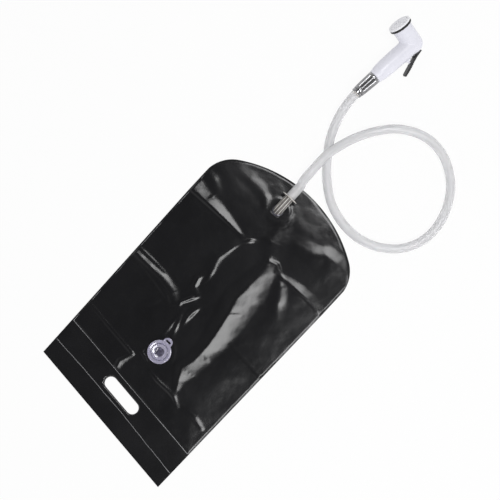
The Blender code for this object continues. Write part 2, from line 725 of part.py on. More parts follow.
def build_hose_nut(handset):
    """Nut on the spigot, with the washer, the flanged hose tail and the ring behind them."""
    small = NUT_SMALL_RADIUS / NUT_RADIUS
    section = ribbed_section("nut_section", NUT_RADIUS, FLUTE_DEPTH, NUT_FLUTES)
    front = -2 * FIT
    points = [Vector((front, 0, 0)), Vector((front - NUT_LENGTH * 0.35, 0, 0)),
              Vector((-NUT_LENGTH, 0, 0))]
    nut = swept("swivel_nut", points, NUT_RADIUS, handset, CHROME, section=section,
                scales=[1.0, 1.0, small])
    washer_front = -SPIGOT_LENGTH - FIT
    washer_back = washer_front - WASHER_THICKNESS
    flange_front = washer_back - FIT
    flange_back = flange_front - TAIL_FLANGE_THICKNESS
    wide = SPIGOT_RADIUS + FIT
    narrow = HOSE_RADIUS + FIT
    hollow = [
        (wide, front + 0.002), (wide, flange_back - FIT), (narrow, flange_back - FIT),
        (narrow, -NUT_LENGTH - 0.002), (0.0, -NUT_LENGTH - 0.002)]
    hollow = [(0.0, front + 0.002)] + hollow
    cut(nut, turned("nut_bore", hollow, handset, (0, 0, 0), (1, 0, 0), closed=False))
    barb = HOSE_BORE_RADIUS - FIT
    waist = barb - 0.0006
    water = barb - 0.0016
    rim = SPIGOT_RADIUS - FIT
    washer = ring_profile(rim, water, washer_front, washer_back)
    turned("nut_washer", washer, handset, (0, 0, 0), (1, 0, 0), BLACK_RUBBER)
    end = flange_back - BARB_LENGTH
    tail = [(rim, flange_front), (rim, flange_back), (waist, flange_back)]
    for number in range(3):
        top = flange_back - BARB_LENGTH * (0.28 + 0.24 * number)
        tail += [(waist, top), (barb, top - 0.0006), (waist, top - BARB_LENGTH * 0.2)]
    tail += [(waist - 0.0003, end), (water, end), (water, flange_front)]
    turned("hose_tail", tail, handset, (0, 0, 0), (1, 0, 0), BRASS)
    ferrule_front = -NUT_LENGTH - FIT
    ferrule = ring_profile(FERRULE_RADIUS, narrow, ferrule_front, ferrule_front - FERRULE_LENGTH)
    turned("nut_ferrule", ferrule, handset, (0, 0, 0), (1, 0, 0), CHROME)
    return Vector((flange_back - 2 * FIT, 0.0, 0.0))


def build_spray_face(handset):
    """Black ring, white face ring with its threaded skirt, and the pierced plate."""
    seal_low = HEAD_HEIGHT + FIT
    seal_top = seal_low + SEAL_THICKNESS
    ring_low = seal_top + FIT
    ring_top = ring_low + FACE_THICKNESS
    ledge = ring_top - FACE_RECESS
    skirt = HEAD_CAVITY_RADIUS - FIT
    inner = skirt - SKIRT_WALL
    plate_radius = FACE_RADIUS - FACE_RIM
    elbow = (HANDLE_LENGTH, 0.0, 0.0)
    seal = ring_profile(SEAL_RADIUS, HEAD_CAVITY_RADIUS, seal_top, seal_low)
    turned("face_seal", seal, handset, elbow, (0, 1, 0), BLACK_RUBBER)
    bevel = 0.0006
    ring = [
        (plate_radius + bevel, ring_top), (FACE_RADIUS - bevel, ring_top),
        (FACE_RADIUS, ring_top - bevel), (FACE_RADIUS, ring_low), (skirt, ring_low),
        (skirt, ring_low - SKIRT_LENGTH), (inner, ring_low - SKIRT_LENGTH), (inner, ledge),
        (plate_radius, ledge), (plate_radius, ring_top - bevel)]
    turned("face_ring", ring, handset, elbow, (0, 1, 0), WHITE_SHELL)
    outlines = [circle_points((0.0, 0.0), plate_radius - FIT, SIDES)]
    for radius, count in SPRAY_RINGS:
        for centre in circle_points((0.0, 0.0), radius, count):
            outlines.append(circle_points(centre, SPRAY_HOLE_RADIUS, 6))
    middle = (HANDLE_LENGTH, ledge + FIT + PLATE_THICKNESS / 2.0, 0.0)
    face_up = Vector((0, 1, 0)).to_track_quat("Z", "Y")
    outline_solid("spray_plate", outlines, PLATE_THICKNESS, handset, middle, WHITE_SHELL, face_up)


def lever_outline():
    """Side view of the lever: plain inner side, wedge tip, bowed outer side with grip ribs."""
    outer = LEVER_OFFSET + LEVER_THICKNESS
    round_radius = LEVER_THICKNESS / 2.0
    end = LEVER_REACH - round_radius
    points = [(-LEVER_TIP, LEVER_TIP_OFFSET), (WEB_HALF_LENGTH - 0.001, LEVER_OFFSET), (end, LEVER_OFFSET)]
    for number in range(1, 8):
        angle = math.pi * (number / 8.0 - 0.5)
        points.append((end + round_radius * math.cos(angle),
                       LEVER_OFFSET + round_radius + round_radius * math.sin(angle)))
    points.append((end, outer))
    stretch = end - GRIP_START
    for number in reversed(range(GRIP_RIBS)):
        for share, depth in ((0.75, 0.0), (0.7, GRIP_DEPTH), (0.3, GRIP_DEPTH), (0.25, 0.0)):
            a = GRIP_START + GRIP_PITCH * (number + share)
            bow = LEVER_BOW * math.sin(math.pi * min(1.0, (a - GRIP_START) / stretch))
            points.append((a, outer + bow - depth))
    points.append((0.0, outer))
    points.append((-LEVER_TIP, LEVER_TIP_OFFSET + LEVER_TIP_THICKNESS))
    return points


def lever_frame(handset):
    """Empty on the lever's pin, with x along the lever and y towards the hand."""
    frame = bpy.data.objects.new("lever_frame", None)
    bpy.data.collections[PARTS].objects.link(frame)
    frame.parent = handset
    angle = math.radians(LEVER_ANGLE)
    along = Vector((-math.cos(angle), -math.sin(angle), 0.0))
    away = Vector((math.sin(angle), -math.cos(angle), 0.0))
    turn = Matrix((along, away, along.cross(away))).transposed()
    frame.matrix_basis = Matrix.Translation((PIVOT_ALONG, -PIVOT_DEPTH, 0.0)) @ turn.to_4x4()
    return frame


def build_lever(handset):
    frame = lever_frame(handset)
    lever = outline_solid("trigger_lever", [lever_outline()], LEVER_WIDTH, frame, (0, 0, 0), BLACK_PLASTIC)
    web = [(WEB_HALF_LENGTH, LEVER_OFFSET + 0.001)]
    web += [(-WEB_HALF_LENGTH, LEVER_OFFSET + LEVER_THICKNESS * 0.7)]
    for number in range(9):
        angle = math.pi * (1.0 + number / 8.0)
        web.append((WEB_RADIUS * math.cos(angle), WEB_RADIUS * math.sin(angle)))
    join(lever, outline_solid("lever_web", [web], WEB_WIDTH, frame, (0, 0, 0)))
    side = LEVER_WIDTH
    cut(lever, rod("lever_eye", PIN_RADIUS + FIT, (0, 0, -side), (0, 0, side), frame, steps=16))
    half = PIN_LENGTH / 2.0
    low = (PIVOT_ALONG, -PIVOT_DEPTH, -half)
    high = (PIVOT_ALONG, -PIVOT_DEPTH, half)
    rod("lever_pin", PIN_RADIUS, low, high, handset, STEEL, steps=16)
    return frame


def stem_dome_place(angle):
    """Centre of the stem's round end when the lever stands at an angle off the handle."""
    angle = math.radians(angle)
    arm = PIVOT_ALONG - VALVE_ALONG
    reach = LEVER_OFFSET - STEM_RADIUS - STEM_GAP + arm * math.sin(angle)
    return -PIVOT_DEPTH - reach / math.cos(angle)


def build_shut_off(handset):
    """Stem with its washer, seat, spring, gland and O-ring, all on one axis across the handle."""
    place = (VALVE_ALONG, 0.0, 0.0)
    across = (0, 1, 0)
    washer_low = CHAMBER_SHOULDER
    disc_low = washer_low + STEM_WASHER_THICKNESS + FIT
    disc_top = disc_low + STEM_DISC_THICKNESS
    dome = stem_dome_place(LEVER_ANGLE)
    stem = [(0.0, disc_top + 0.0022), (0.0014, disc_top + 0.0022), (0.0014, disc_top),
            (STEM_DISC_RADIUS, disc_top), (STEM_DISC_RADIUS, disc_low), (STEM_RADIUS, disc_low)]
    for number in range(6):
        angle = 0.5 * math.pi * number / 6
        stem.append((STEM_RADIUS * math.cos(angle), dome - STEM_RADIUS * math.sin(angle)))
    stem.append((0.0, dome - STEM_RADIUS))
    turned("valve_stem", stem, handset, place, across, WHITE_SHELL, closed=False, steps=20)
    washer = ring_profile(STEM_DISC_RADIUS, STEM_RADIUS + FIT, disc_low - FIT, washer_low)
    turned("valve_seal", washer, handset, place, across, BLACK_RUBBER, steps=20)
    seat_top = washer_low - FIT
    seat = ring_profile(CHAMBER_RADIUS - FIT, SEAT_BORE_RADIUS, seat_top, seat_top - SEAT_THICKNESS)
    turned("valve_seat", seat, handset, place, across, BRASS, steps=20)
    gland_low = -GLAND_TOP
    gland_in = gland_low + GLAND_LENGTH
    pocket = gland_in - 2 * ORING_RADIUS - 2 * FIT
    ring_reach = STEM_RADIUS + FIT + ORING_RADIUS
    gland = [
        (GLAND_RADIUS, gland_in), (GLAND_RADIUS, gland_low), (STEM_RADIUS + FIT, gland_low),
        (STEM_RADIUS + FIT, pocket), (ring_reach + ORING_RADIUS + FIT, pocket),
        (ring_reach + ORING_RADIUS + FIT, gland_in)]
    turned("valve_gland", gland, handset, place, across, WHITE_SHELL, steps=24)
    middle = pocket + FIT + ORING_RADIUS
    loop = []
    for number in range(8):
        angle = -2.0 * math.pi * number / 8
        loop.append((ring_reach + ORING_RADIUS * math.cos(angle), middle + ORING_RADIUS * math.sin(angle)))
    turned("gland_oring", loop, handset, place, across, BLACK_RUBBER, steps=20)
    build_spring(handset, disc_top + FIT, SPRING_CHAMBER_DEPTH - FIT)


def build_spring(handset, low, high):
    radius = STEM_DISC_RADIUS - SPRING_WIRE_RADIUS - FIT
    low += SPRING_WIRE_RADIUS
    high -= SPRING_WIRE_RADIUS
    count = SPRING_TURNS * SPRING_POINTS
    points = []
    for number in range(count + 1):
        angle = 2.0 * math.pi * number / SPRING_POINTS
        height = low + (high - low) * number / count
        points.append((VALVE_ALONG + radius * math.cos(angle), height, radius * math.sin(angle)))
    swept("valve_spring", points, SPRING_WIRE_RADIUS, handset, STEEL, resolution=1)
    print("least gap between spring coils", round((high - low) / SPRING_TURNS - 2 * SPRING_WIRE_RADIUS, 5))


def handset_frame(shower):
    """Empty at the handle's lower end: x along the handle, y towards the spray face."""
    frame = bpy.data.objects.new("handset_frame", None)
    bpy.data.collections[PARTS].objects.link(frame)
    frame.parent = shower
    heading, dip, roll = (math.radians(a) for a in (HANDSET_HEADING, HANDSET_DIP, HANDSET_ROLL))
    flat = Vector((math.sin(heading), math.cos(heading), 0.0))
    left = Vector((-math.cos(heading), math.sin(heading), 0.0))
    up = Vector((0.0, 0.0, 1.0))
    along = flat * math.cos(dip) - up * math.sin(dip)
    lifted = up * math.cos(dip) + flat * math.sin(dip)
    face = left * math.cos(roll) + lifted * math.sin(roll)
    turn = Matrix((along, face, along.cross(face))).transposed()
    frame.matrix_basis = Matrix.Translation(HANDSET_PLACE) @ turn.to_4x4()
    return frame


def report_joints(handset, pivot_frame):
    """Print the world places and directions that the moving pieces turn and slide about."""
    bpy.context.view_layer.update()
    world = handset.matrix_world
    turn = world.to_3x3()
    travel = stem_dome_place(LEVER_ANGLE - LEVER_PRESS) - stem_dome_place(LEVER_ANGLE)
    facts = {
        "lever pivot": pivot_frame.matrix_world.translation,
        "lever axis": turn @ Vector((0, 0, -1)),
        "stem place": world @ Vector((VALVE_ALONG, 0, 0)),
        "stem axis": turn @ Vector((0, 1, 0)),
        "nut place": world @ Vector((-NUT_LENGTH / 2.0, 0, 0)),
        "nut axis": turn @ Vector((1, 0, 0)),
        "spring end": world @ Vector((VALVE_ALONG, SPRING_CHAMBER_DEPTH, 0)),
    }
    for name, value in facts.items():
        print(name, [round(number, 5) for number in value])
    print("stem travel", round(travel, 6), "ratio", round(travel / math.radians(LEVER_PRESS), 6))


def main():
    clear_scene()
    make_collection(PARTS)
    make_collection(CUTTERS)
    shower = bpy.data.objects.new("shower_frame", None)
    bpy.data.collections[PARTS].objects.link(shower)
    shower.location = (0.0, -HEM_TO_ORIGIN, 0.0)
    build_bag(shower)
    build_fill_valve(shower)
    hose_start = build_outlet(shower)
    handset = handset_frame(shower)
    build_handset_body(handset)
    tail_end = build_hose_nut(handset)
    build_spray_face(handset)
    pivot_frame = build_lever(handset)
    build_shut_off(handset)
    ahead = (handset.matrix_basis.to_3x3() @ Vector((1, 0, 0))).normalized()
    build_hose(shower, hose_start, handset.matrix_basis @ tail_end, ahead)
    report_joints(handset, pivot_frame)


main()
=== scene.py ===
"""Looks of the portable shower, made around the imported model.

Metres, in the model's own frame. Pieces are built in the bag's lying coordinates, measured from
the middle of its hem, and moved by HEM_TO_ORIGIN.
"""
from math import acos, cos, hypot, pi, radians, sin, sqrt

import bmesh
import bpy
import numpy as np
from mathutils import Matrix, Vector, noise

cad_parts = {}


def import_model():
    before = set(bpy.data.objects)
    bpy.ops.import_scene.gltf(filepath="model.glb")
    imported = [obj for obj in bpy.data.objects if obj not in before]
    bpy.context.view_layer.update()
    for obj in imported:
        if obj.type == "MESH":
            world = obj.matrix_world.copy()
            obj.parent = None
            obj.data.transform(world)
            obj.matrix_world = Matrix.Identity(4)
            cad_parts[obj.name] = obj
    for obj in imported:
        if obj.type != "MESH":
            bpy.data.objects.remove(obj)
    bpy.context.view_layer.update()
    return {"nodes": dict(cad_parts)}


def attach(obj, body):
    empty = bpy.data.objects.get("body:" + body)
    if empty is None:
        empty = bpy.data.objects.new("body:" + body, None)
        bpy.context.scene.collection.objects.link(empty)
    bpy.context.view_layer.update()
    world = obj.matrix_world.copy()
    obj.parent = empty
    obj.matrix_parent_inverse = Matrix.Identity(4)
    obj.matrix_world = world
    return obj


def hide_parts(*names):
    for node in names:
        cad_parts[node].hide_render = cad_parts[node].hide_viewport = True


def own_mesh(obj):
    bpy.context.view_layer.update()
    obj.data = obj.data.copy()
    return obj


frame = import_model()

MM = 0.001
HEM_TO_ORIGIN = 0.42747

# The photograph's view: straight down, turned so that the bag's hem is at the lower left
VIEW_SPOT = (-0.0096, 0.3948)
VIEW_HEIGHT = 1.8
VIEW_TURN = 42.8
VIEW_LENS = 74.06

# Water bag, as in the part's source
FILM = 0.0006
BAG_LENGTH = 0.535
BAG_WIDTH = 0.32
CROWN_RADIUS = 0.245
SHOULDER_RADIUS = 0.062
HEADER_LENGTH = 0.077
SLOT_LENGTH = 0.081
SLOT_WIDTH = 0.0226
SLOT_PLACE = (-0.0015, 0.0555)
HEM_DRAW_IN = 0.012
HEM_SKEW = 0.1175
SKEW_REACH = 0.4
SKEW_POWER = 2.5

# Columns and rows of the three films
FRONT_GRID = (168, 236)
HEADER_GRID = (130, 40)
BACK_GRID = (90, 130)
# Share of the columns between the shoulders' centres, and the finer steps at the rims
STRAIGHT_SHARE = 0.62
SIDE_RIM = 0.012
END_RIM = 0.008
RIM_STEPS = 3

# Header's ripple, rims of the holes, and weld lines
HEADER_RIPPLE = 0.0002
RIPPLE_ENDS = (0.006, 0.004)
PUNCH_REACH = 0.004
WELD_RADIUS = 0.0006
WELD_INSET = 0.003
RIM_WELD_RISE = 0.0002
WELD_RISE = 0.0003

# Front film as it lies
RIM_SLOPE = 0.0045
RIM_LOFT = 0.0008
LOFT_REACH = 0.06
FILM_LOFT = 0.0018
SWELL = 0.0005
WRINKLE = 0.00012
FILM_GAP = 0.0001
FLANGE_CALM = 0.006
CREASE_CALM = 0.004
CREASE_LOSS = 0.85
# Shallow trough along the middle, with its place and reach in mm
TROUGH = 0.0007
TROUGH_MIDDLE = 2.0
TROUGH_HALF = 40.0
TROUGH_START = 120.0
TROUGH_RISE = 60.0

# Fittings: place on the lying bag, and hole in the film
VALVE = (-0.0049, 0.157)
VALVE_HOLE = 0.0173
VALVE_FLANGE = 0.026
OUTLET = (-0.0205, 0.478)
OUTLET_HOLE = 0.0081
OUTLET_FLANGE = 0.02

# Hose, as in the part's source
HOSE_RADIUS = 0.008
HOSE_BORE_RADIUS = 0.006
BARB_LENGTH = 0.026
HOSE_EXIT = (-0.0205, 0.5096, 0.0193)
ROUTE = (
    (-0.0233, 0.545, 0.0115), (-0.0242, 0.578, 0.0165), (-0.0238, 0.606, 0.018),
    (-0.018, 0.6318, 0.0135), (-0.0098, 0.6566, 0.0065), (0.0056, 0.6875, 0.0012),
    (0.0295, 0.7185, 0.0), (0.0555, 0.737, 0.0), (0.083, 0.747, 0.0),
    (0.1095, 0.7475, 0.0), (0.1345, 0.7405, 0.0), (0.1575, 0.7265, 0.0),
    (0.1745, 0.7105, 0.0), (0.189, 0.688, 0.0), (0.199, 0.661, 0.0),
    (0.2025, 0.631, 0.0), (0.1965, 0.601, 0.0), (0.183, 0.5775, 0.0),
    (0.167, 0.5615, 0.0), (0.144, 0.547, 0.0), (0.111, 0.5375, 0.0),
    (0.0742, 0.539, 0.0), (0.0402, 0.5502, 0.0), (0.0122, 0.5696, 0.0),
    (-0.0076, 0.5894, 0.0), (-0.0263, 0.6126, 0.0), (-0.0409, 0.6363, 0.0006),
    (-0.052, 0.664, 0.0058), (-0.0572, 0.688, 0.0125),
)

# How the hose is drawn
BORE_GRIP = 0.0001
HOSE_STEP = 0.004
CURVE_STEPS = 24
BARB_STEPS = 6
BARB_STRETCH = 0.0007
STRETCH_LENGTH = 0.018
STRETCH_FADE = 0.01

# Handset: its own frame has x along the handle and y towards the spray face
HANDSET_PLACE = (-0.0546, 0.7602, 0.0222)
HANDSET_HEADING = 5.5
HANDSET_DIP = 2.9
HANDSET_ROLL = 23.5
HANDLE_LENGTH = 0.0892
HEAD_RADIUS = 0.0175
HEAD_HEIGHT = 0.0388
TAIL_END = -0.0192
STEM_ALONG = 0.065
SPRING_REACH = 0.0039
SPRING_WIRE = 0.00035
SPRING_LOW = 0.00425
SPRING_HIGH = 0.01115


def world(x, y, z=0.0):
    """A place given from the hem, in the model's frame."""
    return Vector((x, y - HEM_TO_ORIGIN, z))


def ease(value):
    value = np.clip(value, 0.0, 1.0)
    return value * value * (3.0 - 2.0 * value)


# Making meshes

SHARP_ANGLE = 38.0
MERGE = 1e-7
SOLID_MERGE = 1e-6


def new_object(name, data):
    thing = bpy.data.objects.new(name, data)
    bpy.context.scene.collection.objects.link(thing)
    return thing


def add_piece(name, mesh, material, node=None, body="shower"):
    """A piece on a body. With a node, it is shown instead of that solid."""
    piece = new_object(name, mesh)
    mesh.materials.clear()
    mesh.materials.append(material)
    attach(piece, body)
    if node:
        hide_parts(node)
    return piece


def shape_of(mesh, merge=0.0):
    """A mesh opened for editing, with corners merged up to a distance."""
    shape = bmesh.new()
    shape.from_mesh(mesh)
    if merge:
        bmesh.ops.remove_doubles(shape, verts=shape.verts, dist=merge)
    return shape


def mesh_of(shape, name):
    """The mesh of an edited shape, which is let go."""
    mesh = bpy.data.meshes.new(name)
    shape.to_mesh(mesh)
    shape.free()
    return mesh


def clean_mesh(shape, name):
    """The shape's mesh with doubles merged, faces pointing outwards and smooth shading."""
    bmesh.ops.remove_doubles(shape, verts=shape.verts, dist=MERGE)
    bmesh.ops.recalc_face_normals(shape, faces=shape.faces)
    return smooth(mesh_of(shape, name))


def mesh_from(name, points, faces, turn=None):
    shape = bmesh.new()
    corners = [shape.verts.new(turn @ Vector(p) if turn else Vector(p)) for p in points]
    for face in faces:
        shape.faces.new([corners[i] for i in face])
    return clean_mesh(shape, name)


def smooth(mesh):
    mesh.shade_smooth()
    mesh.set_sharp_from_angle(angle=radians(SHARP_ANGLE))
    return mesh


def plain_mesh(piece):
    """The piece's evaluated mesh, with its modifiers dropped."""
    bpy.context.view_layer.update()
    mesh = bpy.data.meshes.new_from_object(
        piece.evaluated_get(bpy.context.evaluated_depsgraph_get()))
    bpy.data.objects.remove(piece, do_unlink=True)
    return mesh


def turned_mesh(name, profile, turn, steps=96, closed=True):
    """A mesh turned about the local z axis from (radius, height) points."""
    points = []
    for step in range(steps):
        angle = 2.0 * pi * step / steps
        points += [(r * cos(angle), r * sin(angle), h) for r, h in profile]
    faces = ring_faces(steps, len(profile))
    if not closed:
        del faces[len(profile) - 1::len(profile)]
    return mesh_from(name, points, faces, turn)


def tube_rings(points, radii, sides):
    """Rings of points round a path, without twist."""
    path = [Vector(p) for p in points]
    ahead = [(path[min(i + 1, len(path) - 1)] - path[max(i - 1, 0)]).normalized()
             for i in range(len(path))]
    side = ahead[0].orthogonal().normalized()
    rings = []
    for centre, forward, radius in zip(path, ahead, radii):
        side = (side - forward * side.dot(forward)).normalized()
        other = forward.cross(side)
        rings.append([centre + (side * cos(a) + other * sin(a)) * float(radius)
                      for a in (2.0 * pi * n / sides for n in range(sides))])
    return rings


def ring_faces(count, sides, closed=True):
    """Faces between rings of corners, and from the last ring to the first if closed."""
    faces = []
    for ring in range(count if closed else count - 1):
        low, high = ring * sides, (ring + 1) % count * sides
        for n in range(sides):
            m = (n + 1) % sides
            faces.append([low + n, low + m, high + m, high + n])
    return faces


def tube_mesh(name, points, outer, inner, sides=32):
    """A hollow tube with ring-shaped ends."""
    rings = tube_rings(points, outer, sides) + tube_rings(points, inner, sides)[::-1]
    corners = [corner for ring in rings for corner in ring]
    return mesh_from(name, corners, ring_faces(len(rings), sides))


def rod_mesh(name, points, radii, sides):
    """A solid rod along a path, closed at both ends."""
    rings = tube_rings(points, radii, sides)
    corners = [corner for ring in rings for corner in ring]
    last = (len(rings) - 1) * sides
    ends = [list(range(sides)), list(range(last, last + sides))]
    return mesh_from(name, corners, ends + ring_faces(len(rings), sides, closed=False))


def axis_turn(base, place, direction):
    """Matrix that stands the z axis along a direction of a base frame."""
    upright = Vector(direction).to_track_quat("Z", "Y").to_matrix().to_4x4()
    return base @ Matrix.Translation(place) @ upright


# Groups of nodes

GEOMETRY = ("Geometry", "Geometry")


def node_group(kind, name, inputs, outputs):
    """A group of nodes. Its inputs and outputs have a label and a kind, and maybe a value."""
    tree = bpy.data.node_groups.new(name, kind + "NodeTree")
    for side, sockets in (("INPUT", inputs), ("OUTPUT", outputs)):
        for label, sort, *value in sockets:
            socket = tree.interface.new_socket(label, in_out=side, socket_type="NodeSocket" + sort)
            if value:
                socket.default_value = value[0]
    return tree


def put(tree, kind, links=None, **settings):
    """Add a node, set its properties and join its inputs to sockets or values."""
    made = tree.nodes.new(kind)
    for key, value in settings.items():
        setattr(made, key, value)
    for key, value in (links or {}).items():
        if isinstance(value, bpy.types.NodeSocket):
            tree.links.new(value, made.inputs[key])
        else:
            made.inputs[key].default_value = value
    return made


def reckon(tree, operation, first, second, **settings):
    """The result of one operation on two sockets or values."""
    return put(tree, "ShaderNodeMath", {0: first, 1: second}, operation=operation,
               **settings).outputs[0]


def blend(tree, factor, first, second, kind="MIX"):
    """Mix two colours by a factor; each may be a socket or a value."""
    mix = put(tree, "ShaderNodeMix", data_type="RGBA", blend_type=kind)
    wanted = {"Factor_Float": factor, "A_Color": first, "B_Color": second}
    for socket in mix.inputs:
        value = wanted.get(socket.identifier)
        if isinstance(value, bpy.types.NodeSocket):
            tree.links.new(value, socket)
        elif value is not None:
            socket.default_value = value
    return next(socket for socket in mix.outputs if socket.identifier == "Result_Color")


def run_tree(name, mesh, tree, values):
    """Run a tree on a mesh and return the result as a plain mesh."""
    piece = new_object(name, mesh)
    change = piece.modifiers.new(tree.name, "NODES")
    change.node_group = tree
    for item in tree.interface.items_tree:
        if item.in_out == "INPUT" and item.name in values:
            change[item.identifier] = values[item.name]
    return plain_mesh(piece)


def bead_tree():
    """Round bead along every edge path of the mesh."""
    tree = node_group("Geometry", "bead along a path", [
        GEOMETRY, ("Radius", "Float"), ("Finish", "Material")], [GEOMETRY])
    given = put(tree, "NodeGroupInput")
    path = put(tree, "GeometryNodeMeshToCurve", {"Mesh": given.outputs["Geometry"]})
    ring = put(tree, "GeometryNodeCurvePrimitiveCircle", {"Resolution": 10})
    tree.links.new(given.outputs["Radius"], ring.inputs["Radius"])
    bead = put(tree, "GeometryNodeCurveToMesh", {
        "Curve": path.outputs["Curve"], "Profile Curve": ring.outputs["Curve"], "Fill Caps": True})
    finish_tree(tree, given, bead.outputs["Mesh"])
    return tree


def ring_tree():
    """A number of copies of the mesh, set round a ring about the z axis."""
    tree = node_group("Geometry", "copies round a ring", [
        GEOMETRY, ("Count", "Int"), ("Ring Radius", "Float"), ("Finish", "Material")], [GEOMETRY])
    given = put(tree, "NodeGroupInput")
    ring = put(tree, "GeometryNodeMeshCircle", {"Vertices": given.outputs["Count"]})
    tree.links.new(given.outputs["Ring Radius"], ring.inputs["Radius"])
    number = put(tree, "GeometryNodeInputIndex")
    share = reckon(tree, "DIVIDE", number.outputs[0], given.outputs["Count"])
    turn = put(tree, "ShaderNodeCombineXYZ", {
        "Z": reckon(tree, "MULTIPLY", share, 2.0 * pi)})
    copies = put(tree, "GeometryNodeInstanceOnPoints", {
        "Points": ring.outputs["Mesh"], "Instance": given.outputs["Geometry"],
        "Rotation": turn.outputs[0]})
    finish_tree(tree, given, copies.outputs["Instances"])
    return tree


def finish_tree(tree, given, geometry):
    real = put(tree, "GeometryNodeRealizeInstances", {"Geometry": geometry})
    coated = put(tree, "GeometryNodeSetMaterial", {"Geometry": real.outputs["Geometry"]})
    tree.links.new(given.outputs["Finish"], coated.inputs["Material"])
    put(tree, "NodeGroupOutput", {"Geometry": coated.outputs["Geometry"]})


# Finishes


def marks_and_sheen_group():
    """Mask of soft cloudy patches crossed by finer specks, for uneven gloss and tone; in the weld
    and light moulding finishes the tone it drives is painted sheen.
    """
    tree = node_group("Shader", "handling marks and painted sheen", [
        ("Scale", "Float", 40.0), ("Speck", "Float", 0.3)], [("Mask", "Float")])
    given = put(tree, "NodeGroupInput")
    place = put(tree, "ShaderNodeTexCoord")
    cloud = put(tree, "ShaderNodeTexNoise", {
        "Vector": place.outputs["Object"], "Scale": given.outputs["Scale"], "Detail": 5.0,
        "Roughness": 0.6})
    finer = reckon(tree, "MULTIPLY", given.outputs["Scale"], 14.0)
    speck = put(tree, "ShaderNodeTexNoise", {
        "Vector": place.outputs["Object"], "Scale": finer, "Detail": 2.0})
    specks = put(tree, "ShaderNodeMapRange", {
        "Value": speck.outputs["Fac"], "From Min": 0.56, "From Max": 0.7})
    amount = reckon(tree, "MULTIPLY", specks.outputs[0], given.outputs["Speck"])
    clouds = put(tree, "ShaderNodeMapRange", {
        "Value": cloud.outputs["Fac"], "From Min": 0.32, "From Max": 0.68})
    total = reckon(tree, "ADD", clouds.outputs[0], amount, use_clamp=True)
    put(tree, "NodeGroupOutput", {"Mask": total})
    return tree


def grain_group():
    """Fine uneven surface left by a mould or a roller."""
    tree = node_group("Shader", "surface grain", [
        ("Scale", "Float", 400.0), ("Depth", "Float", 0.00002)], [("Normal", "Vector")])
    given = put(tree, "NodeGroupInput")
    place = put(tree, "ShaderNodeTexCoord")
    grain = put(tree, "ShaderNodeTexNoise", {
        "Vector": place.outputs["Object"], "Scale": given.outputs["Scale"], "Detail": 3.0})
    bump = put(tree, "ShaderNodeBump", {
        "Height": grain.outputs["Fac"], "Distance": given.outputs["Depth"], "Strength": 1.0})
    put(tree, "NodeGroupOutput", {"Normal": bump.outputs["Normal"]})
    return tree


MARKS_AND_SHEEN = marks_and_sheen_group()
GRAIN = grain_group()


def make_finish(name, tones, rough, marks, grain=(300.0, 0.00001), **plain):
    """A material whose tone and gloss follow the handling marks, over a fine grain."""
    material = bpy.data.materials.new(name)
    material.use_nodes = True
    tree = material.node_tree
    shader = tree.nodes["Principled BSDF"]
    mask = put(tree, "ShaderNodeGroup", node_tree=MARKS_AND_SHEEN)
    mask.inputs["Scale"].default_value, mask.inputs["Speck"].default_value = marks
    colour = blend(tree, mask.outputs["Mask"], (*tones[0], 1.0), (*tones[1], 1.0))
    tree.links.new(colour, shader.inputs["Base Color"])
    gloss = put(tree, "ShaderNodeMapRange", {
        "Value": mask.outputs["Mask"], "To Min": rough[0], "To Max": rough[1]})
    tree.links.new(gloss.outputs[0], shader.inputs["Roughness"])
    fine = put(tree, "ShaderNodeGroup", node_tree=GRAIN)
    fine.inputs["Scale"].default_value, fine.inputs["Depth"].default_value = grain
    tree.links.new(fine.outputs["Normal"], shader.inputs["Normal"])
    for label, value in plain.items():
        shader.inputs[label.replace("_", " ")].default_value = value
    return material


VINYL = make_finish(
    "black vinyl film", ((0.0085, 0.0085, 0.0095), (0.0125, 0.0125, 0.0138)), (0.14, 0.185),
    (9.0, 0.25), (260.0, 0.00003), IOR=1.5)
# Weld beads toned grey above the black film: a painted sheen for the light their raised seams
# catch, darker and lighter in broad patches
WELD_SHEEN_PAINT = make_finish(
    "welded vinyl with painted sheen", ((0.1, 0.1, 0.105), (0.32, 0.32, 0.33)), (0.14, 0.22), (7.0, 0.3),
    (500.0, 0.00002), IOR=1.5)
LILAC = make_finish(
    "milky lilac vinyl", ((0.66, 0.63, 0.82), (0.74, 0.71, 0.89)), (0.05, 0.1), (80.0, 0.2),
    Transmission_Weight=0.55, IOR=1.5, Coat_Weight=1.0)
# Clearer lilac, toned darker than the milky lilac as painted shade in hollows; its clearness is
# real
LILAC_SHADE_PAINT = make_finish(
    "clear lilac vinyl with painted shade", ((0.42, 0.4, 0.52), (0.5, 0.48, 0.6)), (0.05, 0.1), (80.0, 0.2),
    Transmission_Weight=0.92, IOR=1.47, Coat_Weight=1.0)
# Light moulding whose speckled, streaky tone is painted highlight, on the spout's rib tops and the
# connector
HIGHLIGHT_PAINT_MOULDING = make_finish(
    "moulding with painted highlight streaks", ((0.45, 0.43, 0.41), (0.95, 0.92, 0.88)), (0.06, 0.12), (210.0, 0.6),
    Transmission_Weight=0.1, IOR=1.5, Coat_Weight=1.0)
# Dark clear moulding for the spout's grooves, flanks and bore: painted shade between the ribs
GROOVE_SHADE_PAINT = make_finish(
    "clear moulding painted dark as groove shade", ((0.14, 0.13, 0.12), (0.3, 0.28, 0.26)), (0.05, 0.12), (120.0, 0.3),
    Transmission_Weight=0.3, IOR=1.49)
MILKY = make_finish(
    "milky hose", ((0.95, 0.95, 0.97), (0.97, 0.97, 0.98)), (0.14, 0.22), (50.0, 0.2),
    (350.0, 0.00001), Transmission_Weight=0.6, IOR=1.35)
SHELL = make_finish(
    "white moulding", ((0.81, 0.81, 0.89), (0.84, 0.84, 0.92)), (0.24, 0.32), (45.0, 0.15),
    IOR=1.5)
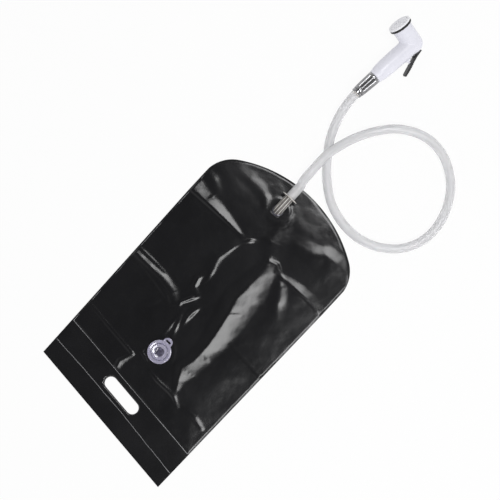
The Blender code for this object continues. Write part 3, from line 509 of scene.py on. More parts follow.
# The face's white, lighter than the shell's to make up for the shade its tilt and nozzles give:
# painted light
FACE_LIGHT_PAINT = make_finish(
    "white moulding painted lighter for the face", ((0.9, 0.9, 0.95), (0.93, 0.93, 0.97)), (0.24, 0.32), (45.0, 0.15),
    IOR=1.5)
CHROME = make_finish(
    "bright plating", ((0.3, 0.3, 0.31), (0.38, 0.38, 0.39)), (0.06, 0.14), (120.0, 0.3),
    (700.0, 0.00001), Metallic=1.0)
BLACK = make_finish(
    "black moulding", ((0.018, 0.018, 0.02), (0.03, 0.03, 0.032)), (0.3, 0.45), (90.0, 0.4),
    (1500.0, 0.00003))
RUBBER = make_finish(
    "black rubber", ((0.012, 0.012, 0.012), (0.022, 0.022, 0.022)), (0.55, 0.75), (120.0, 0.4),
    (1800.0, 0.00003))
BRASS = make_finish(
    "turned brass", ((0.66, 0.47, 0.2), (0.74, 0.55, 0.27)), (0.18, 0.3), (150.0, 0.3),
    (2500.0, 0.00001), Metallic=1.0)
STEEL = make_finish(
    "spring steel", ((0.48, 0.48, 0.49), (0.58, 0.58, 0.58)), (0.16, 0.28), (200.0, 0.3),
    (2500.0, 0.00001), Metallic=1.0)


# Camera, floor and light


def add_camera():
    data = bpy.data.cameras.new("view")
    camera = new_object("view", data)
    camera.location = world(*VIEW_SPOT, VIEW_HEIGHT)
    camera.rotation_euler = (0.0, 0.0, radians(VIEW_TURN))
    data.sensor_width = 36.0
    data.lens = VIEW_LENS
    bpy.context.scene.camera = camera


FLOOR_WHITE = 0.93
FLOOR_HALF = 9
FLOOR_DROP = 0.0004


def add_floor():
    """Pale floor that keeps the object's shadow, and shows as white where nothing shades it."""
    f = FLOOR_HALF
    mesh = mesh_from("floor", [(-f, -f, 0), (f, -f, 0), (f, f, 0), (-f, f, 0)], [(0, 1, 2, 3)])
    floor = new_object("floor", mesh)
    floor.location = (0.0, 0.0, -FLOOR_DROP)
    material = bpy.data.materials.new("pale floor")
    material.use_nodes = True
    tree = material.node_tree
    tree.nodes.clear()
    ray = put(tree, "ShaderNodeLightPath")
    seen = reckon(tree, "MAXIMUM", ray.outputs["Is Camera Ray"], ray.outputs["Is Glossy Ray"])
    seen = reckon(tree, "MAXIMUM", seen, ray.outputs["Is Transmission Ray"])
    share = reckon(tree, "MULTIPLY", seen, FLOOR_WHITE)
    matt = put(tree, "ShaderNodeBsdfDiffuse", {"Color": (0.9, 0.9, 0.9, 1.0)})
    white = put(tree, "ShaderNodeEmission", {"Color": (1.0, 1.0, 1.0, 1.0), "Strength": 1.0})
    both = put(tree, "ShaderNodeMixShader", {
        0: share, 1: matt.outputs[0], 2: white.outputs[0]})
    put(tree, "ShaderNodeOutputMaterial", {"Surface": both.outputs[0]})
    mesh.materials.append(material)


# World brightness against height, white at the horizon and dim overhead
SKY = ((0.0, 0.9), (0.35, 0.85), (0.7, 0.46), (0.86, 0.15), (0.94, 0.07), (1.0, 0.07))
# What it is multiplied by, from -X to +X
SKY_SIDES = ((0.0, 0.85), (0.3, 0.88), (0.55, 1.05), (1.0, 1.05))


def grey_ramp(tree, factor, stops):
    ramp = put(tree, "ShaderNodeValToRGB", {0: factor})
    marks = ramp.color_ramp.elements
    while len(marks) < len(stops):
        marks.new(0.5)
    for mark, (place, level) in zip(marks, stops):
        mark.position = place
        mark.color = (level, level, level, 1.0)
    return ramp.outputs[0]


def add_world():
    sky = bpy.data.worlds.new("studio")
    sky.use_nodes = True
    tree = sky.node_tree
    place = put(tree, "ShaderNodeTexCoord")
    parts = put(tree, "ShaderNodeSeparateXYZ", {0: place.outputs["Generated"]})
    across = put(tree, "ShaderNodeMapRange", {"Value": parts.outputs["X"], "From Min": -1.0})
    level = blend(tree, 1.0, grey_ramp(tree, parts.outputs["Z"], SKY),
                  grey_ramp(tree, across.outputs[0], SKY_SIDES), "MULTIPLY")
    tree.links.new(level, tree.nodes["Background"].inputs["Color"])
    tree.nodes["Background"].inputs["Strength"].default_value = 1.0
    bpy.context.scene.world = sky


def add_softbox(name, place, size, power):
    """A soft lamp over the bag that shines straight down."""
    data = bpy.data.lights.new(name, "AREA")
    data.shape = "RECTANGLE"
    data.size, data.size_y = size
    data.energy = power
    lamp = new_object(name, data)
    lamp.location = world(*place)
    lamp.visible_camera = False


def add_lights():
    add_world()
    x, y = VIEW_SPOT
    add_softbox("softbox beside", (x + 0.79, y - 0.27, 1.8), (0.43, 1.25), 14.4)
    add_softbox("softbox beyond", (x, y + 0.66, 1.8), (0.7, 0.5), 8.8)


# Bag


def shoulder_centre():
    across = BAG_WIDTH / 2.0 - SHOULDER_RADIUS
    rise = sqrt((CROWN_RADIUS - SHOULDER_RADIUS) ** 2 - across ** 2)
    return across, BAG_LENGTH - CROWN_RADIUS + rise


def dome_edge(x):
    """Distance from the hem to the cut edge of the domed end."""
    across, along = shoulder_centre()
    handover = CROWN_RADIUS * across / (CROWN_RADIUS - SHOULDER_RADIUS)
    crown = np.sqrt(np.maximum(0.0, CROWN_RADIUS ** 2 - x ** 2))
    corner = np.sqrt(np.maximum(0.0, SHOULDER_RADIUS ** 2 - (np.abs(x) - across) ** 2))
    return np.where(np.abs(x) <= handover, BAG_LENGTH - CROWN_RADIUS + crown, along + corner)


def lay(x, y):
    """Where a point of the cut bag lies once its creases draw it in."""
    reach = np.minimum(1.0, y / SKEW_REACH)
    skew = HEM_SKEW * (1.0 - reach ** SKEW_POWER)
    narrow = 1.0 - (HEM_DRAW_IN / BAG_WIDTH) * (1.0 - reach)
    return x * narrow, y - x * skew


# Creases of the front film: x, y, height, and the width of the slope left and right, in mm.
# Each runs so that the broader slope, which the light catches, falls towards +X or +Y.
CREASES = (
    # the long ridge right of the middle
    ((62, 125, 0.4, 6, 6), (58, 133, 1.1, 8, 10), (52, 143, 1.8, 10, 15), (42, 163, 3.2, 14, 35),
     (49, 186, 3.0, 16, 24), (49, 220, 3.6, 18, 27), (44, 255, 4.5, 22, 35), (37, 291, 4.8, 24, 38),
     (30, 316, 5.2, 24, 44), (31, 347, 4.7, 22, 40), (32, 376, 3.7, 20, 34), (31, 396, 2.7, 16, 28),
     (24, 414, 0.6, 10, 14)),
    # flanks and crumples left of the middle
    ((-29, 305, 0.3, 12, 4), (-33, 320, 1.1, 14, 7), (-42, 348, 1.6, 18, 10),
     (-35, 378, 1.1, 14, 6), (-30, 395, 0.2, 8, 4)),
    ((-24, 276, 0.4, 5, 5), (-38, 281, 1.6, 6, 7), (-43, 297, 1.9, 8, 8), (-40, 310, 0.4, 6, 5)),
    ((-35, 240, 0.5, 3, 4), (-37, 246, 1.4, 3, 4), (-28, 264, 1.7, 4, 5), (-19, 275, 0.4, 3, 3)),
    ((-10, 222, 0.2, 4, 4), (-12, 246, 1.3, 5, 7), (-6, 262, 0.3, 3, 4)),
    ((-21, 183, 0.2, 3, 3), (-22, 206, 0.8, 3, 4), (-24, 232, 0.3, 3, 3)),
    ((-7, 193, 0.3, 3, 5), (-13, 207, 1.0, 4, 5), (-21, 231, 0.3, 3, 3)),
    ((-7, 218, 0.2, 4, 4), (-9, 239, 1.1, 4, 6), (-6, 258, 0.2, 3, 3)),
    ((-28, 398, 0.2, 3, 3), (-20, 407, 1.3, 3, 4), (-12, 414, 0.2, 3, 3)),
    # cross folds from packing
    ((-162, 403, 2.5, 27, 4), (-121, 404, 2.4, 22, 4), (-80, 404, 1.9, 15, 4),
     (-48, 403, 1.1, 8, 3), (-36, 403, 0.4, 5, 3)),
    ((50, 397, 0.4, 5, 3), (90, 398, 1.5, 15, 4), (123, 398, 1.8, 17, 4), (150, 397, 1.4, 13, 4),
     (161, 397, 0.9, 9, 4)),
    ((78, 250, 0.3, 4, 4), (152, 244, 0.8, 5, 4)),
    ((-152, 137, 0.7, 3, 4), (-91, 129, 1.0, 3.6, 4), (-38, 123, 1.2, 4, 4)),
    ((96, 114, 0.3, 4, 6), (118, 114, 1.6, 7, 6), (140, 109, 0.6, 5, 5)),
    ((4, 121, 0.5, 3, 3), (27, 117, 1.6, 6, 3), (54, 117, 1.7, 7, 3), (66, 116, 1.6, 7, 4),
     (82, 108, 0.5, 5, 4)),
    ((-41, 79, 1.0, 5, 8), (-46, 98, 2.0, 6, 11), (-38, 121, 0.8, 4, 6)),
    # upper line of the left fold
    ((-160, 267, 0.8, 4.5, 3), (-121, 267, 0.8, 4.5, 3), (-94, 266, 0.3, 4, 3)),
    # short kinks across the long ridge and the upper left fold
    ((40, 288, 0.1, 2, 2), (48, 294, 0.5, 2, 3), (56, 300, 0.1, 2, 2)),
    ((59, 205, 0.1, 2, 2), (65, 204, 0.25, 3, 4), (71, 203, 0.1, 2, 2)),
    ((-122, 409, 0.2, 3, 3), (-120, 418, 0.5, 4, 3), (-119, 430, 0.1, 3, 3)),
    ((27, 403, 0.2, 3, 3), (42, 408, 1.0, 4, 4), (57, 401, 0.2, 3, 3)),
    # beside the fill valve's flange
    ((-31, 135, 0.3, 3, 2), (-23, 134, 1.2, 4, 2), (-14, 131, 1.0, 4, 2), (-8, 129, 0.2, 3, 2)),
    ((-30, 132, 0.2, 2, 3), (-29, 138, 0.8, 2, 4), (-28, 144, 0.2, 2, 3)),
    # beside the outlet's flange
    ((3, 465, 0.2, 2, 2), (6, 478, 0.8, 2, 3), (5, 492, 0.2, 2, 2)),
    ((9, 462, 0.1, 2, 2), (12, 474, 0.5, 2, 3), (12, 484, 0.1, 2, 2)),
)
# Soft ridges, given the same way
RIDGES = (
    ((106, 336, 0.2, 14, 12), (88, 360, 1.9, 16, 16), (72, 383, 1.8, 11, 12), (62, 396, 0.3, 4, 4)),
    ((40, 456, 0.3, 16, 16), (62, 459, 0.9, 18, 18), (82, 464, 1.0, 18, 18),
     (96, 477, 1.15, 17, 18), (120, 479, 1.15, 17, 18), (148, 478, 0.7, 12, 12)),
    ((18, 404, 0.5, 14, 20), (9, 430, 2.2, 16, 34), (5, 454, 1.1, 12, 26), (3, 474, 0.1, 8, 12)),
    ((-160, 446, 0.3, 8, 8), (-137, 440, 1.2, 10, 10), (-118, 428, 0.2, 6, 6)),
    ((-112, 486, 0.2, 12, 10), (-66, 484, 0.55, 12, 10), (-50, 480, 0.8, 8, 8),
     (-42, 470, 0.9, 6, 7), (-40, 462, 0.2, 5, 5)),
    ((-83, 199, 0.2, 4, 4), (-72, 215, 0.7, 5, 5), (-67, 229, 0.2, 4, 4)),
    ((-160, 257, 1.3, 7.5, 4), (-121, 256, 2.1, 9, 4), (-89, 254, 2.5, 11.5, 4),
     (-59, 248, 2.3, 11, 4), (-43, 239, 0.6, 6, 4)),
    ((-160, 254, 0.9, 6, 5), (-121, 249, 1.3, 7, 5), (-89, 244, 1.6, 7, 5),
     (-62, 238, 1.6, 7, 5), (-50, 230, 0.3, 5, 4)),
)
# How round the crest is, in mm, and how hollow the slopes are, of a sharp crease and a soft ridge
SHARP = (1.2, 1.35)
SOFT = (5.0, 1.5)


def crease_height(x, y, rows, crest_round, power):
    """Height in mm of one crease over points given in mm."""
    nearest = np.full(x.shape, 1e9)
    height = np.zeros(x.shape)
    for (ax, ay, *start), (bx, by, *end) in zip(rows, rows[1:]):
        run = np.array((bx - ax, by - ay), float)
        share = np.clip(((x - ax) * run[0] + (y - ay) * run[1]) / run.dot(run), 0.0, 1.0)
        dx, dy = x - ax - share * run[0], y - ay - share * run[1]
        gap = np.hypot(dx, dy)
        left = run[0] * dy - run[1] * dx > 0.0
        tall, left_width, right_width = (a + (b - a) * share for a, b in zip(start, end))
        away = np.sqrt(gap ** 2 + crest_round ** 2) - crest_round
        fall = np.maximum(0.0, 1.0 - away / np.where(left, left_width, right_width))
        closer = gap < nearest
        height = np.where(closer, tall * fall ** power, height)
        nearest = np.where(closer, gap, nearest)
    return height


def rolling(x, y, scale, seed):
    """Smooth unevenness between -1 and 1."""
    return np.array([noise.noise(Vector((a * scale, b * scale, seed))) for a, b in zip(x, y)])


def film_lift(x, y):
    """How far the front film lies above the back film, at places of the cut bag."""
    lx, ly = lay(x, y)
    rim = np.minimum(np.minimum(BAG_WIDTH / 2.0 - np.abs(x), dome_edge(x) - y), y - HEADER_LENGTH)
    mx, my = lx / MM, ly / MM
    creases = sum(crease_height(mx, my, rows, *SHARP) for rows in CREASES) * MM
    creases = creases + sum(crease_height(mx, my, rows, *SOFT) for rows in RIDGES) * MM
    trough = (ease(1.0 - np.abs(mx - TROUGH_MIDDLE) / TROUGH_HALF)
              * ease((my - TROUGH_START) / TROUGH_RISE))
    swell = rolling(lx, ly, 16.0, 3.1) + 0.45 * rolling(lx, ly, 41.0, 7.7)
    loft = RIM_LOFT + (FILM_LOFT - RIM_LOFT) * ease(rim / LOFT_REACH)
    wrinkle = WRINKLE * rolling(lx, ly, 62.0, 9.1) + 0.5 * WRINKLE * rolling(lx, ly, 130.0, 2.6)
    loft = loft - TROUGH * trough + SWELL * swell + wrinkle
    for centre, flange in ((VALVE, VALVE_FLANGE), (OUTLET, OUTLET_FLANGE)):
        gap = np.hypot(lx - centre[0], ly - centre[1]) - flange
        calm = ease(1.0 - gap / FLANGE_CALM)
        loft = loft + calm * (FILM_LOFT - loft)
        creases = creases * (1.0 - CREASE_LOSS * ease(1.0 - (gap + CREASE_CALM) / CREASE_CALM))
    return np.maximum(0.0, loft + creases) * ease(rim / RIM_SLOPE)


def spread(count, rim, fine):
    """Even steps from 0 to 1, with a few finer ones at each end for the welded rim."""
    inner = np.linspace(rim, 1.0 - rim, count - 2 * fine + 1)
    edge = np.linspace(0.0, rim, fine + 1)[:-1]
    return np.concatenate((edge, inner, 1.0 - edge[::-1]))


def film_grid(columns, rows, start, end=None):
    """Places on the cut bag: columns follow the sides, rows follow the end's shape."""
    across, _ = shoulder_centre()
    p = spread(columns, SIDE_RIM, RIM_STEPS) * 2.0 - 1.0
    corner = np.maximum(0.0, np.abs(p) - STRAIGHT_SHARE) / (1.0 - STRAIGHT_SHARE)
    x = np.sign(p) * np.where(
        np.abs(p) <= STRAIGHT_SHARE, across * np.abs(p) / STRAIGHT_SHARE,
        across + SHOULDER_RADIUS * np.sin(0.5 * np.pi * corner))
    q = spread(rows, END_RIM, RIM_STEPS)
    top = dome_edge(x) if end is None else np.full(x.shape, end)
    y = start + (top - start)[None, :] * q[:, None]
    return np.broadcast_to(x, y.shape), y


def punch(shape, gap, slide):
    """Open a hole: drop faces inside it, then slide the rim's corners onto its outline."""
    inside = [face for face in shape.faces if any(gap(v.co) < 0.0 for v in face.verts)]
    bmesh.ops.delete(shape, geom=inside, context="FACES")
    loose = [v for v in shape.verts if not v.link_faces]
    bmesh.ops.delete(shape, geom=loose, context="VERTS")
    for vertex in shape.verts:
        if vertex.is_boundary and gap(vertex.co) < PUNCH_REACH:
            vertex.co = slide(vertex.co)


def hole(nearest, radius):
    """The gap to an outline a radius away from the nearest middle, and the slide onto it."""
    def gap(co):
        middle = nearest(co)
        return hypot(co.x - middle.x, co.y - middle.y) - radius

    def slide(co):
        middle = nearest(co)
        out = Vector((co.x - middle.x, co.y - middle.y)).normalized() * radius
        return Vector((middle.x + out.x, middle.y + out.y, co.z))

    return gap, slide


def round_hole(centre, radius):
    middle = world(*centre)
    return hole(lambda co: middle, radius)


def slot_hole():
    """The hand slot, whose middle line follows the lay of the header."""
    reach = (SLOT_LENGTH - SLOT_WIDTH) / 2.0
    ends = [world(*lay(SLOT_PLACE[0] + side * reach, SLOT_PLACE[1])) for side in (-1, 1)]
    run = ends[1] - ends[0]

    def nearest(co):
        share = (Vector((co.x, co.y, 0.0)) - ends[0]).dot(run) / run.length_squared
        return ends[0] + run * min(1.0, max(0.0, share))

    return hole(nearest, SLOT_WIDTH / 2.0)


def film_piece(name, node, grid, height, holes):
    """A film over a grid of places, with its holes punched and its thickness added upwards."""
    x, y = grid
    lx, ly = lay(x, y)
    z = height(x.ravel(), y.ravel())
    rows, columns = x.shape
    shape = bmesh.new()
    corners = [shape.verts.new(world(a, b, c)) for a, b, c in zip(lx.ravel(), ly.ravel(), z)]
    for row in range(rows - 1):
        for column in range(columns - 1):
            first = row * columns + column
            shape.faces.new([corners[i] for i in (first, first + 1, first + columns + 1,
                                                  first + columns)])
    for gap, slide in holes:
        punch(shape, gap, slide)
    mesh = mesh_of(shape, name)
    piece = add_piece(name, mesh, VINYL, node)
    wall = piece.modifiers.new("film", "SOLIDIFY")
    wall.thickness = FILM
    wall.offset = 1.0
    mesh.shade_smooth()
    return piece


def front_height(x, y):
    return FILM + FILM_GAP + film_lift(x, y)


def header_height(x, y):
    lx, ly = lay(x, y)
    ripple = HEADER_RIPPLE * (1.0 + rolling(lx, ly, 30.0, 5.5))
    ends = ease((HEADER_LENGTH - y) / RIPPLE_ENDS[0]) * ease(y / RIPPLE_ENDS[1])
    return FILM + FILM_GAP + ripple * ends


def dome_area():
    x = np.linspace(-BAG_WIDTH / 2.0, BAG_WIDTH / 2.0, 2001)
    return float(np.trapz(dome_edge(x), x))


def build_bag():
    slot = slot_hole()
    front = film_piece(
        "front_film", "front_panel", film_grid(*FRONT_GRID, HEADER_LENGTH),
        front_height, [round_hole(VALVE, VALVE_HOLE), round_hole(OUTLET, OUTLET_HOLE)])
    header = film_piece(
        "header_film", "header_strip", film_grid(*HEADER_GRID, 0.0, HEADER_LENGTH),
        header_height, [slot])
    back = film_piece("back_film", "back_panel", film_grid(*BACK_GRID, 0.0),
                      lambda x, y: np.zeros(x.shape), [slot])
    whole = dome_area()
    build_welds()


def rim_line(inset):
    """Places along the two sides and the domed end, a distance inside the cut edge."""
    across, along = shoulder_centre()
    half = BAG_WIDTH / 2.0 - inset
    turn = acos(across / (CROWN_RADIUS - SHOULDER_RADIUS))
    side = [(half, y) for y in np.linspace(HEADER_LENGTH, along, 60)]
    shoulder = [(across + (SHOULDER_RADIUS - inset) * cos(a),
                 along + (SHOULDER_RADIUS - inset) * sin(a))
                for a in np.linspace(0.0, turn, 24)[1:]]
    crown = [((CROWN_RADIUS - inset) * cos(a),
              BAG_LENGTH - CROWN_RADIUS + (CROWN_RADIUS - inset) * sin(a))
             for a in np.linspace(turn, pi / 2.0, 50)[1:]]
    right = side + shoulder + crown
    return right + [(-x, y) for x, y in right[-2::-1]]


# Weld lines of the header: x and distance from the hem as they lie, in mm
HEM_WELD = ((-152.5, 51.5), (-80, 45), (-27, 38.4), (0, 35.5), (26, 32.3), (70, 25.6),
            (152.5, 13.4))


def weld_points():
    """The welds as rows of points in the model's frame: rim, header line and hem line."""
    def row(x, y, rise):
        return [world(a, b, 2.0 * FILM + rise) for a, b in zip(x, y)]

    rim = np.array(rim_line(WELD_INSET))
    x = np.linspace(-BAG_WIDTH / 2.0 + WELD_INSET, BAG_WIDTH / 2.0 - WELD_INSET, 120)
    lx, ly = lay(x, np.full(x.shape, HEADER_LENGTH))
    wobble = 0.0004 * rolling(lx, ly, 30.0, 1.3)
    known = np.array(HEM_WELD) * MM
    x = np.linspace(known[0, 0], known[-1, 0], 120)
    y = np.interp(x, known[:, 0], known[:, 1]) + 0.0006 * rolling(x, x, 38.0, 4.2)
    return [row(*lay(rim[:, 0], rim[:, 1]), RIM_WELD_RISE), row(lx, ly + wobble, WELD_RISE),
            row(x, y, WELD_RISE)]


def path_mesh(name, lines):
    """A mesh of edges only, one chain for each row of points."""
    points, edges = [], []
    for line in lines:
        first = len(points)
        points += [tuple(p) for p in line]
        edges += [(i, i + 1) for i in range(first, len(points) - 1)]
    mesh = bpy.data.meshes.new(name)
    mesh.from_pydata(points, edges, [])
    return mesh


def build_welds():
    # The beads wear the grey weld finish, a painted sheen
    mesh = run_tree("weld_lines", path_mesh("weld_lines", weld_points()), bead_tree(),
                    {"Radius": WELD_RADIUS, "Finish": WELD_SHEEN_PAINT})
    mesh.shade_smooth()
    piece = add_piece("weld_lines", mesh, WELD_SHEEN_PAINT)


# Hose


def hose_path(end, ahead):
    """Straight over each barb, with one smooth curve through the route's points between."""
    start = world(*HOSE_EXIT)
    first = start + Vector((0.0, BARB_LENGTH, 0.0))
    last = end - ahead * BARB_LENGTH
    guides = [start, first] + [world(x, y, HOSE_RADIUS + z) for x, y, z in ROUTE] + [last, end]
    fine = []
    for a, b, c, d in zip(guides, guides[1:], guides[2:], guides[3:]):
        for t in (n / CURVE_STEPS for n in range(CURVE_STEPS)):
            bend = 2.0 * b + (c - a) * t + (2.0 * a - 5.0 * b + 4.0 * c - d) * t ** 2
            fine.append(0.5 * (bend + (3.0 * b - a - 3.0 * c + d) * t ** 3))
    fine.append(guides[-2])
    straight = [start.lerp(first, n / BARB_STEPS) for n in range(BARB_STEPS)]
    closing = [last.lerp(end, n / BARB_STEPS) for n in range(1, BARB_STEPS + 1)]
    return even_path(straight + fine + closing, HOSE_STEP)


def even_path(points, step):
    given = np.array([tuple(p) for p in points])
    along = np.concatenate(([0.0], np.cumsum(np.linalg.norm(np.diff(given, axis=0), axis=1))))
    wanted = np.linspace(0.0, along[-1], round(along[-1] / step) + 1)
    even = np.column_stack([np.interp(wanted, along, given[:, i]) for i in range(3)])
    return even, float(along[-1])


def build_hose(handset):
    end = handset @ Vector((TAIL_END, 0.0, 0.0))
    ahead = (handset.to_3x3() @ Vector((1.0, 0.0, 0.0))).normalized()
    path, length = hose_path(end, ahead)
    along = np.linspace(0.0, length, len(path))
    stretched = BARB_STRETCH * ease(1.0 - (along - STRETCH_LENGTH) / STRETCH_FADE)
    outer = HOSE_RADIUS + stretched
    inner = np.full(len(path), HOSE_BORE_RADIUS - BORE_GRIP)
    hose = add_piece("hose_tube", tube_mesh("hose_tube", path, outer, inner), MILKY, "hose")


# Handset


def handset_matrix():
    heading, dip, roll = (radians(a) for a in (HANDSET_HEADING, HANDSET_DIP, HANDSET_ROLL))
    flat = Vector((sin(heading), cos(heading), 0.0))
    left = Vector((-cos(heading), sin(heading), 0.0))
    up = Vector((0.0, 0.0, 1.0))
    along = flat * cos(dip) - up * sin(dip)
    lifted = up * cos(dip) + flat * sin(dip)
    face = left * cos(roll) + lifted * sin(roll)
    turn = Matrix((along, face, along.cross(face))).transposed()
    return Matrix.Translation(world(*HANDSET_PLACE)) @ turn.to_4x4()


def dress(material, *names):
    """Give carried-over solids their finish."""
    for name in names:
        node = frame["nodes"][name]
        if not node.material_slots:
            node.data.materials.append(material)
        for slot in node.material_slots:
            slot.material = material


def refined_copy(node, name, material, bevel, body="shower"):
    """The solid again with welded corners, small bevels and smooth shading."""
    shape = shape_of(frame["nodes"][node].data, SOLID_MERGE)
    bmesh.ops.dissolve_limit(shape, angle_limit=radians(1.0), verts=shape.verts,
                             edges=shape.edges)
    piece = add_piece(name, smooth(mesh_of(shape, name)), material, node, body)
    edge = piece.modifiers.new("edge", "BEVEL")
    edge.width = bevel
    edge.segments = 2
    edge.limit_method = "ANGLE"
    edge.angle_limit = radians(40.0)
    edge.harden_normals = True
    return piece


# Free end of the lever: direction towards its root, half its width, and radius across it
TIP_AHEAD = (0.947, 0.322, 0.0)
LEVER_HALF = 0.005
TIP_ROUND = 0.004
TIP_CUTS = (0.0003, 0.0009, 0.0018, 0.0028, 0.004)


def round_tip(mesh, handset):
    """Round the lever's free end across its width."""
    shape = shape_of(mesh)
    bmesh.ops.transform(shape, matrix=handset.inverted(), verts=shape.verts)
    ahead = Vector(TIP_AHEAD).normalized()
    end = min(v.co.dot(ahead) for v in shape.verts)
    for cut in TIP_CUTS:
        whole = shape.verts[:] + shape.edges[:] + shape.faces[:]
        bmesh.ops.bisect_plane(shape, geom=whole, plane_co=ahead * (end + cut), plane_no=ahead)
    for vertex in shape.verts:
        inward = TIP_ROUND - min(TIP_ROUND, vertex.co.dot(ahead) - end)
        half = LEVER_HALF - TIP_ROUND + sqrt(TIP_ROUND ** 2 - inward ** 2)
        vertex.co.z *= half / LEVER_HALF
    bmesh.ops.transform(shape, matrix=handset, verts=shape.verts)
    shape.to_mesh(mesh)
    shape.free()
    smooth(mesh)


SHELL_VOXEL = 0.0006
RELAX_STEP = 0.6
ELBOW_REACH = 0.021
ELBOW_ROUNDS = 60


def relax_near(mesh, place, reach, rounds):
    """Smooth a mesh by averaging over its edges, fading out away from a place."""
    count = len(mesh.vertices)
    points = np.empty(count * 3)
    mesh.vertices.foreach_get("co", points)
    points = points.reshape(-1, 3)
    edges = np.empty(len(mesh.edges) * 2, int)
    mesh.edges.foreach_get("vertices", edges)
    first, second = edges.reshape(-1, 2).T
    share = ease(1.0 - np.linalg.norm(points - np.array(place), axis=1) / reach)[:, None]
    joined = np.maximum(np.bincount(edges, minlength=count), 1)[:, None]
    for _ in range(rounds):
        total = np.zeros_like(points)
        np.add.at(total, first, points[second])
        np.add.at(total, second, points[first])
        points += RELAX_STEP * share * (total / joined - points)
    mesh.vertices.foreach_set("co", points.ravel())
    mesh.update()


def build_shell(handset):
    """White moulding: the solid's own walls, with its edges and elbow run smoothly together."""
    shape = shape_of(frame["nodes"]["handset_body"].data, SOLID_MERGE)
    draft = new_object("handset_shell", mesh_of(shape, "handset_shell"))
    remesh = draft.modifiers.new("voxels", "REMESH")
    remesh.mode = "VOXEL"
    remesh.voxel_size = SHELL_VOXEL
    relax = draft.modifiers.new("relax", "SMOOTH")
    relax.factor = 0.5
    relax.iterations = 6
    mesh = plain_mesh(draft)
    relax_near(mesh, handset @ Vector((HANDLE_LENGTH - HEAD_RADIUS, 0.013, 0.0)), ELBOW_REACH,
               ELBOW_ROUNDS)
    mesh.shade_smooth()
    add_piece("handset_shell", mesh, SHELL, "handset_body")


PLATE_RISE = 0.0015
SPRAY_RINGS = ((0.0042, 6), (0.0084, 12), (0.0126, 18))


def build_face(handset):
    """Face ring, its black seal and the nozzles round the plate's holes."""
    elbow = axis_turn(handset, (HANDLE_LENGTH, 0.0, 0.0), (0, 1, 0))
    low, high = HEAD_HEIGHT + 0.0024, HEAD_HEIGHT + 0.0058
    plate = high - 0.0017
    ring = [
        (0.0168, high), (0.0182, high + 0.0001), (0.0194, high - 0.0001), (0.0201, high - 0.0006),
        (0.0204, high - 0.0013), (0.0204, low + 0.0004), (0.0201, low), (0.0147, low),
        (0.0147, low - 0.007), (0.013, low - 0.007), (0.013, plate), (0.0166, plate),
        (0.0166, high - 0.0003)]
    add_piece("face_rim", turned_mesh("face_rim", ring, elbow), FACE_LIGHT_PAINT, "face_ring")
    bottom, top = HEAD_HEIGHT + 0.0003, HEAD_HEIGHT + 0.0021
    lip, skirt = 0.0203, HEAD_HEIGHT - 0.0018
    seal = [(lip - 0.0004, top), (lip, top - 0.0004), (lip, skirt + 0.0006), (lip - 0.0006, skirt),
            (HEAD_RADIUS + 0.0002, skirt), (HEAD_RADIUS + 0.0002, bottom), (0.015, bottom),
            (0.015, top)]
    add_piece("face_gasket", turned_mesh("face_gasket", seal, elbow), RUBBER, "face_seal")
    build_nozzles(handset, plate + PLATE_RISE)
    # The spray plate too takes the lighter face white, painted light
    dress(FACE_LIGHT_PAINT, "spray_plate")


def build_nozzles(handset, height):
    """A raised lip round each spray hole, in rings like the holes."""
    profile = [(0.00062, 0.0), (0.00062, 0.0004), (0.00075, 0.0005), (0.001, 0.0004),
               (0.0011, 0.0)]
    lip = turned_mesh("lip", profile, Matrix(), steps=16)
    tree = ring_tree()
    turn = axis_turn(handset, (HANDLE_LENGTH, height, 0.0), (0, 1, 0))
    joined = shape_of(lip)
    for radius, count in SPRAY_RINGS:
        ring = run_tree("nozzles", lip.copy(), tree, {
            "Count": count, "Ring Radius": radius, "Finish": FACE_LIGHT_PAINT})
        joined.from_mesh(ring)
    bmesh.ops.transform(joined, matrix=turn, verts=joined.verts)
    piece = add_piece("spray_nozzles", smooth(mesh_of(joined, "spray_nozzles")), FACE_LIGHT_PAINT)


NUT_FLUTES = 12
FLUTE_DEPTH = 0.0009


def build_nut(handset):
    """Fluted cone nut: shallow rounded flutes between flat lands, plain rims at both ends."""
    along = axis_turn(handset, (0.0, 0.0, 0.0), (1, 0, 0))
    outside = ((-0.0006, 0.01165, 0.0), (-0.0012, 0.012, 0.0), (-0.0034, 0.012, 0.0),
               (-0.0046, 0.01195, 0.7), (-0.006, 0.0119, 1.0), (-0.02, 0.0114, 1.0),
               (-0.032, 0.0108, 1.0), (-0.034, 0.0107, 0.7), (-0.0352, 0.0106, 0.0),
               (-0.0374, 0.0105, 0.0), (-0.038, 0.0102, 0.0))
    inside = ((-0.038, 0.0083, 0.0), (-0.0189, 0.0083, 0.0), (-0.0189, 0.0106, 0.0),
              (-0.0006, 0.0106, 0.0))
    rows = outside + inside
    steps = NUT_FLUTES * 12
    points = []
    for step in range(steps):
        angle = 2.0 * pi * step / steps
        dip = max(0.0, sin(angle * NUT_FLUTES)) ** 0.7
        for height, radius, flute in rows:
            reach = radius - FLUTE_DEPTH * flute * dip
            points.append((reach * cos(angle), reach * sin(angle), height))
    mesh = mesh_from("fluted_nut", points, ring_faces(steps, len(rows)), along)
    add_piece("fluted_nut", mesh, CHROME, "swivel_nut", "nut")


def build_spring(handset):
    """Return spring at rest, coiled round the valve stem's line."""
    radius = SPRING_REACH - SPRING_WIRE
    turns, steps = 4, 24
    points = []
    for number in range(turns * steps + 1):
        angle = 2.0 * pi * number / steps
        height = SPRING_LOW + (SPRING_HIGH - SPRING_LOW) * number / (turns * steps)
        points.append(handset @ Vector((STEM_ALONG + radius * cos(angle), height,
                                        radius * sin(angle))))
    mesh = rod_mesh("return_spring", points, [SPRING_WIRE] * len(points), 10)
    spring = add_piece("return_spring", mesh, STEEL, "valve_spring")
    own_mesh(spring)


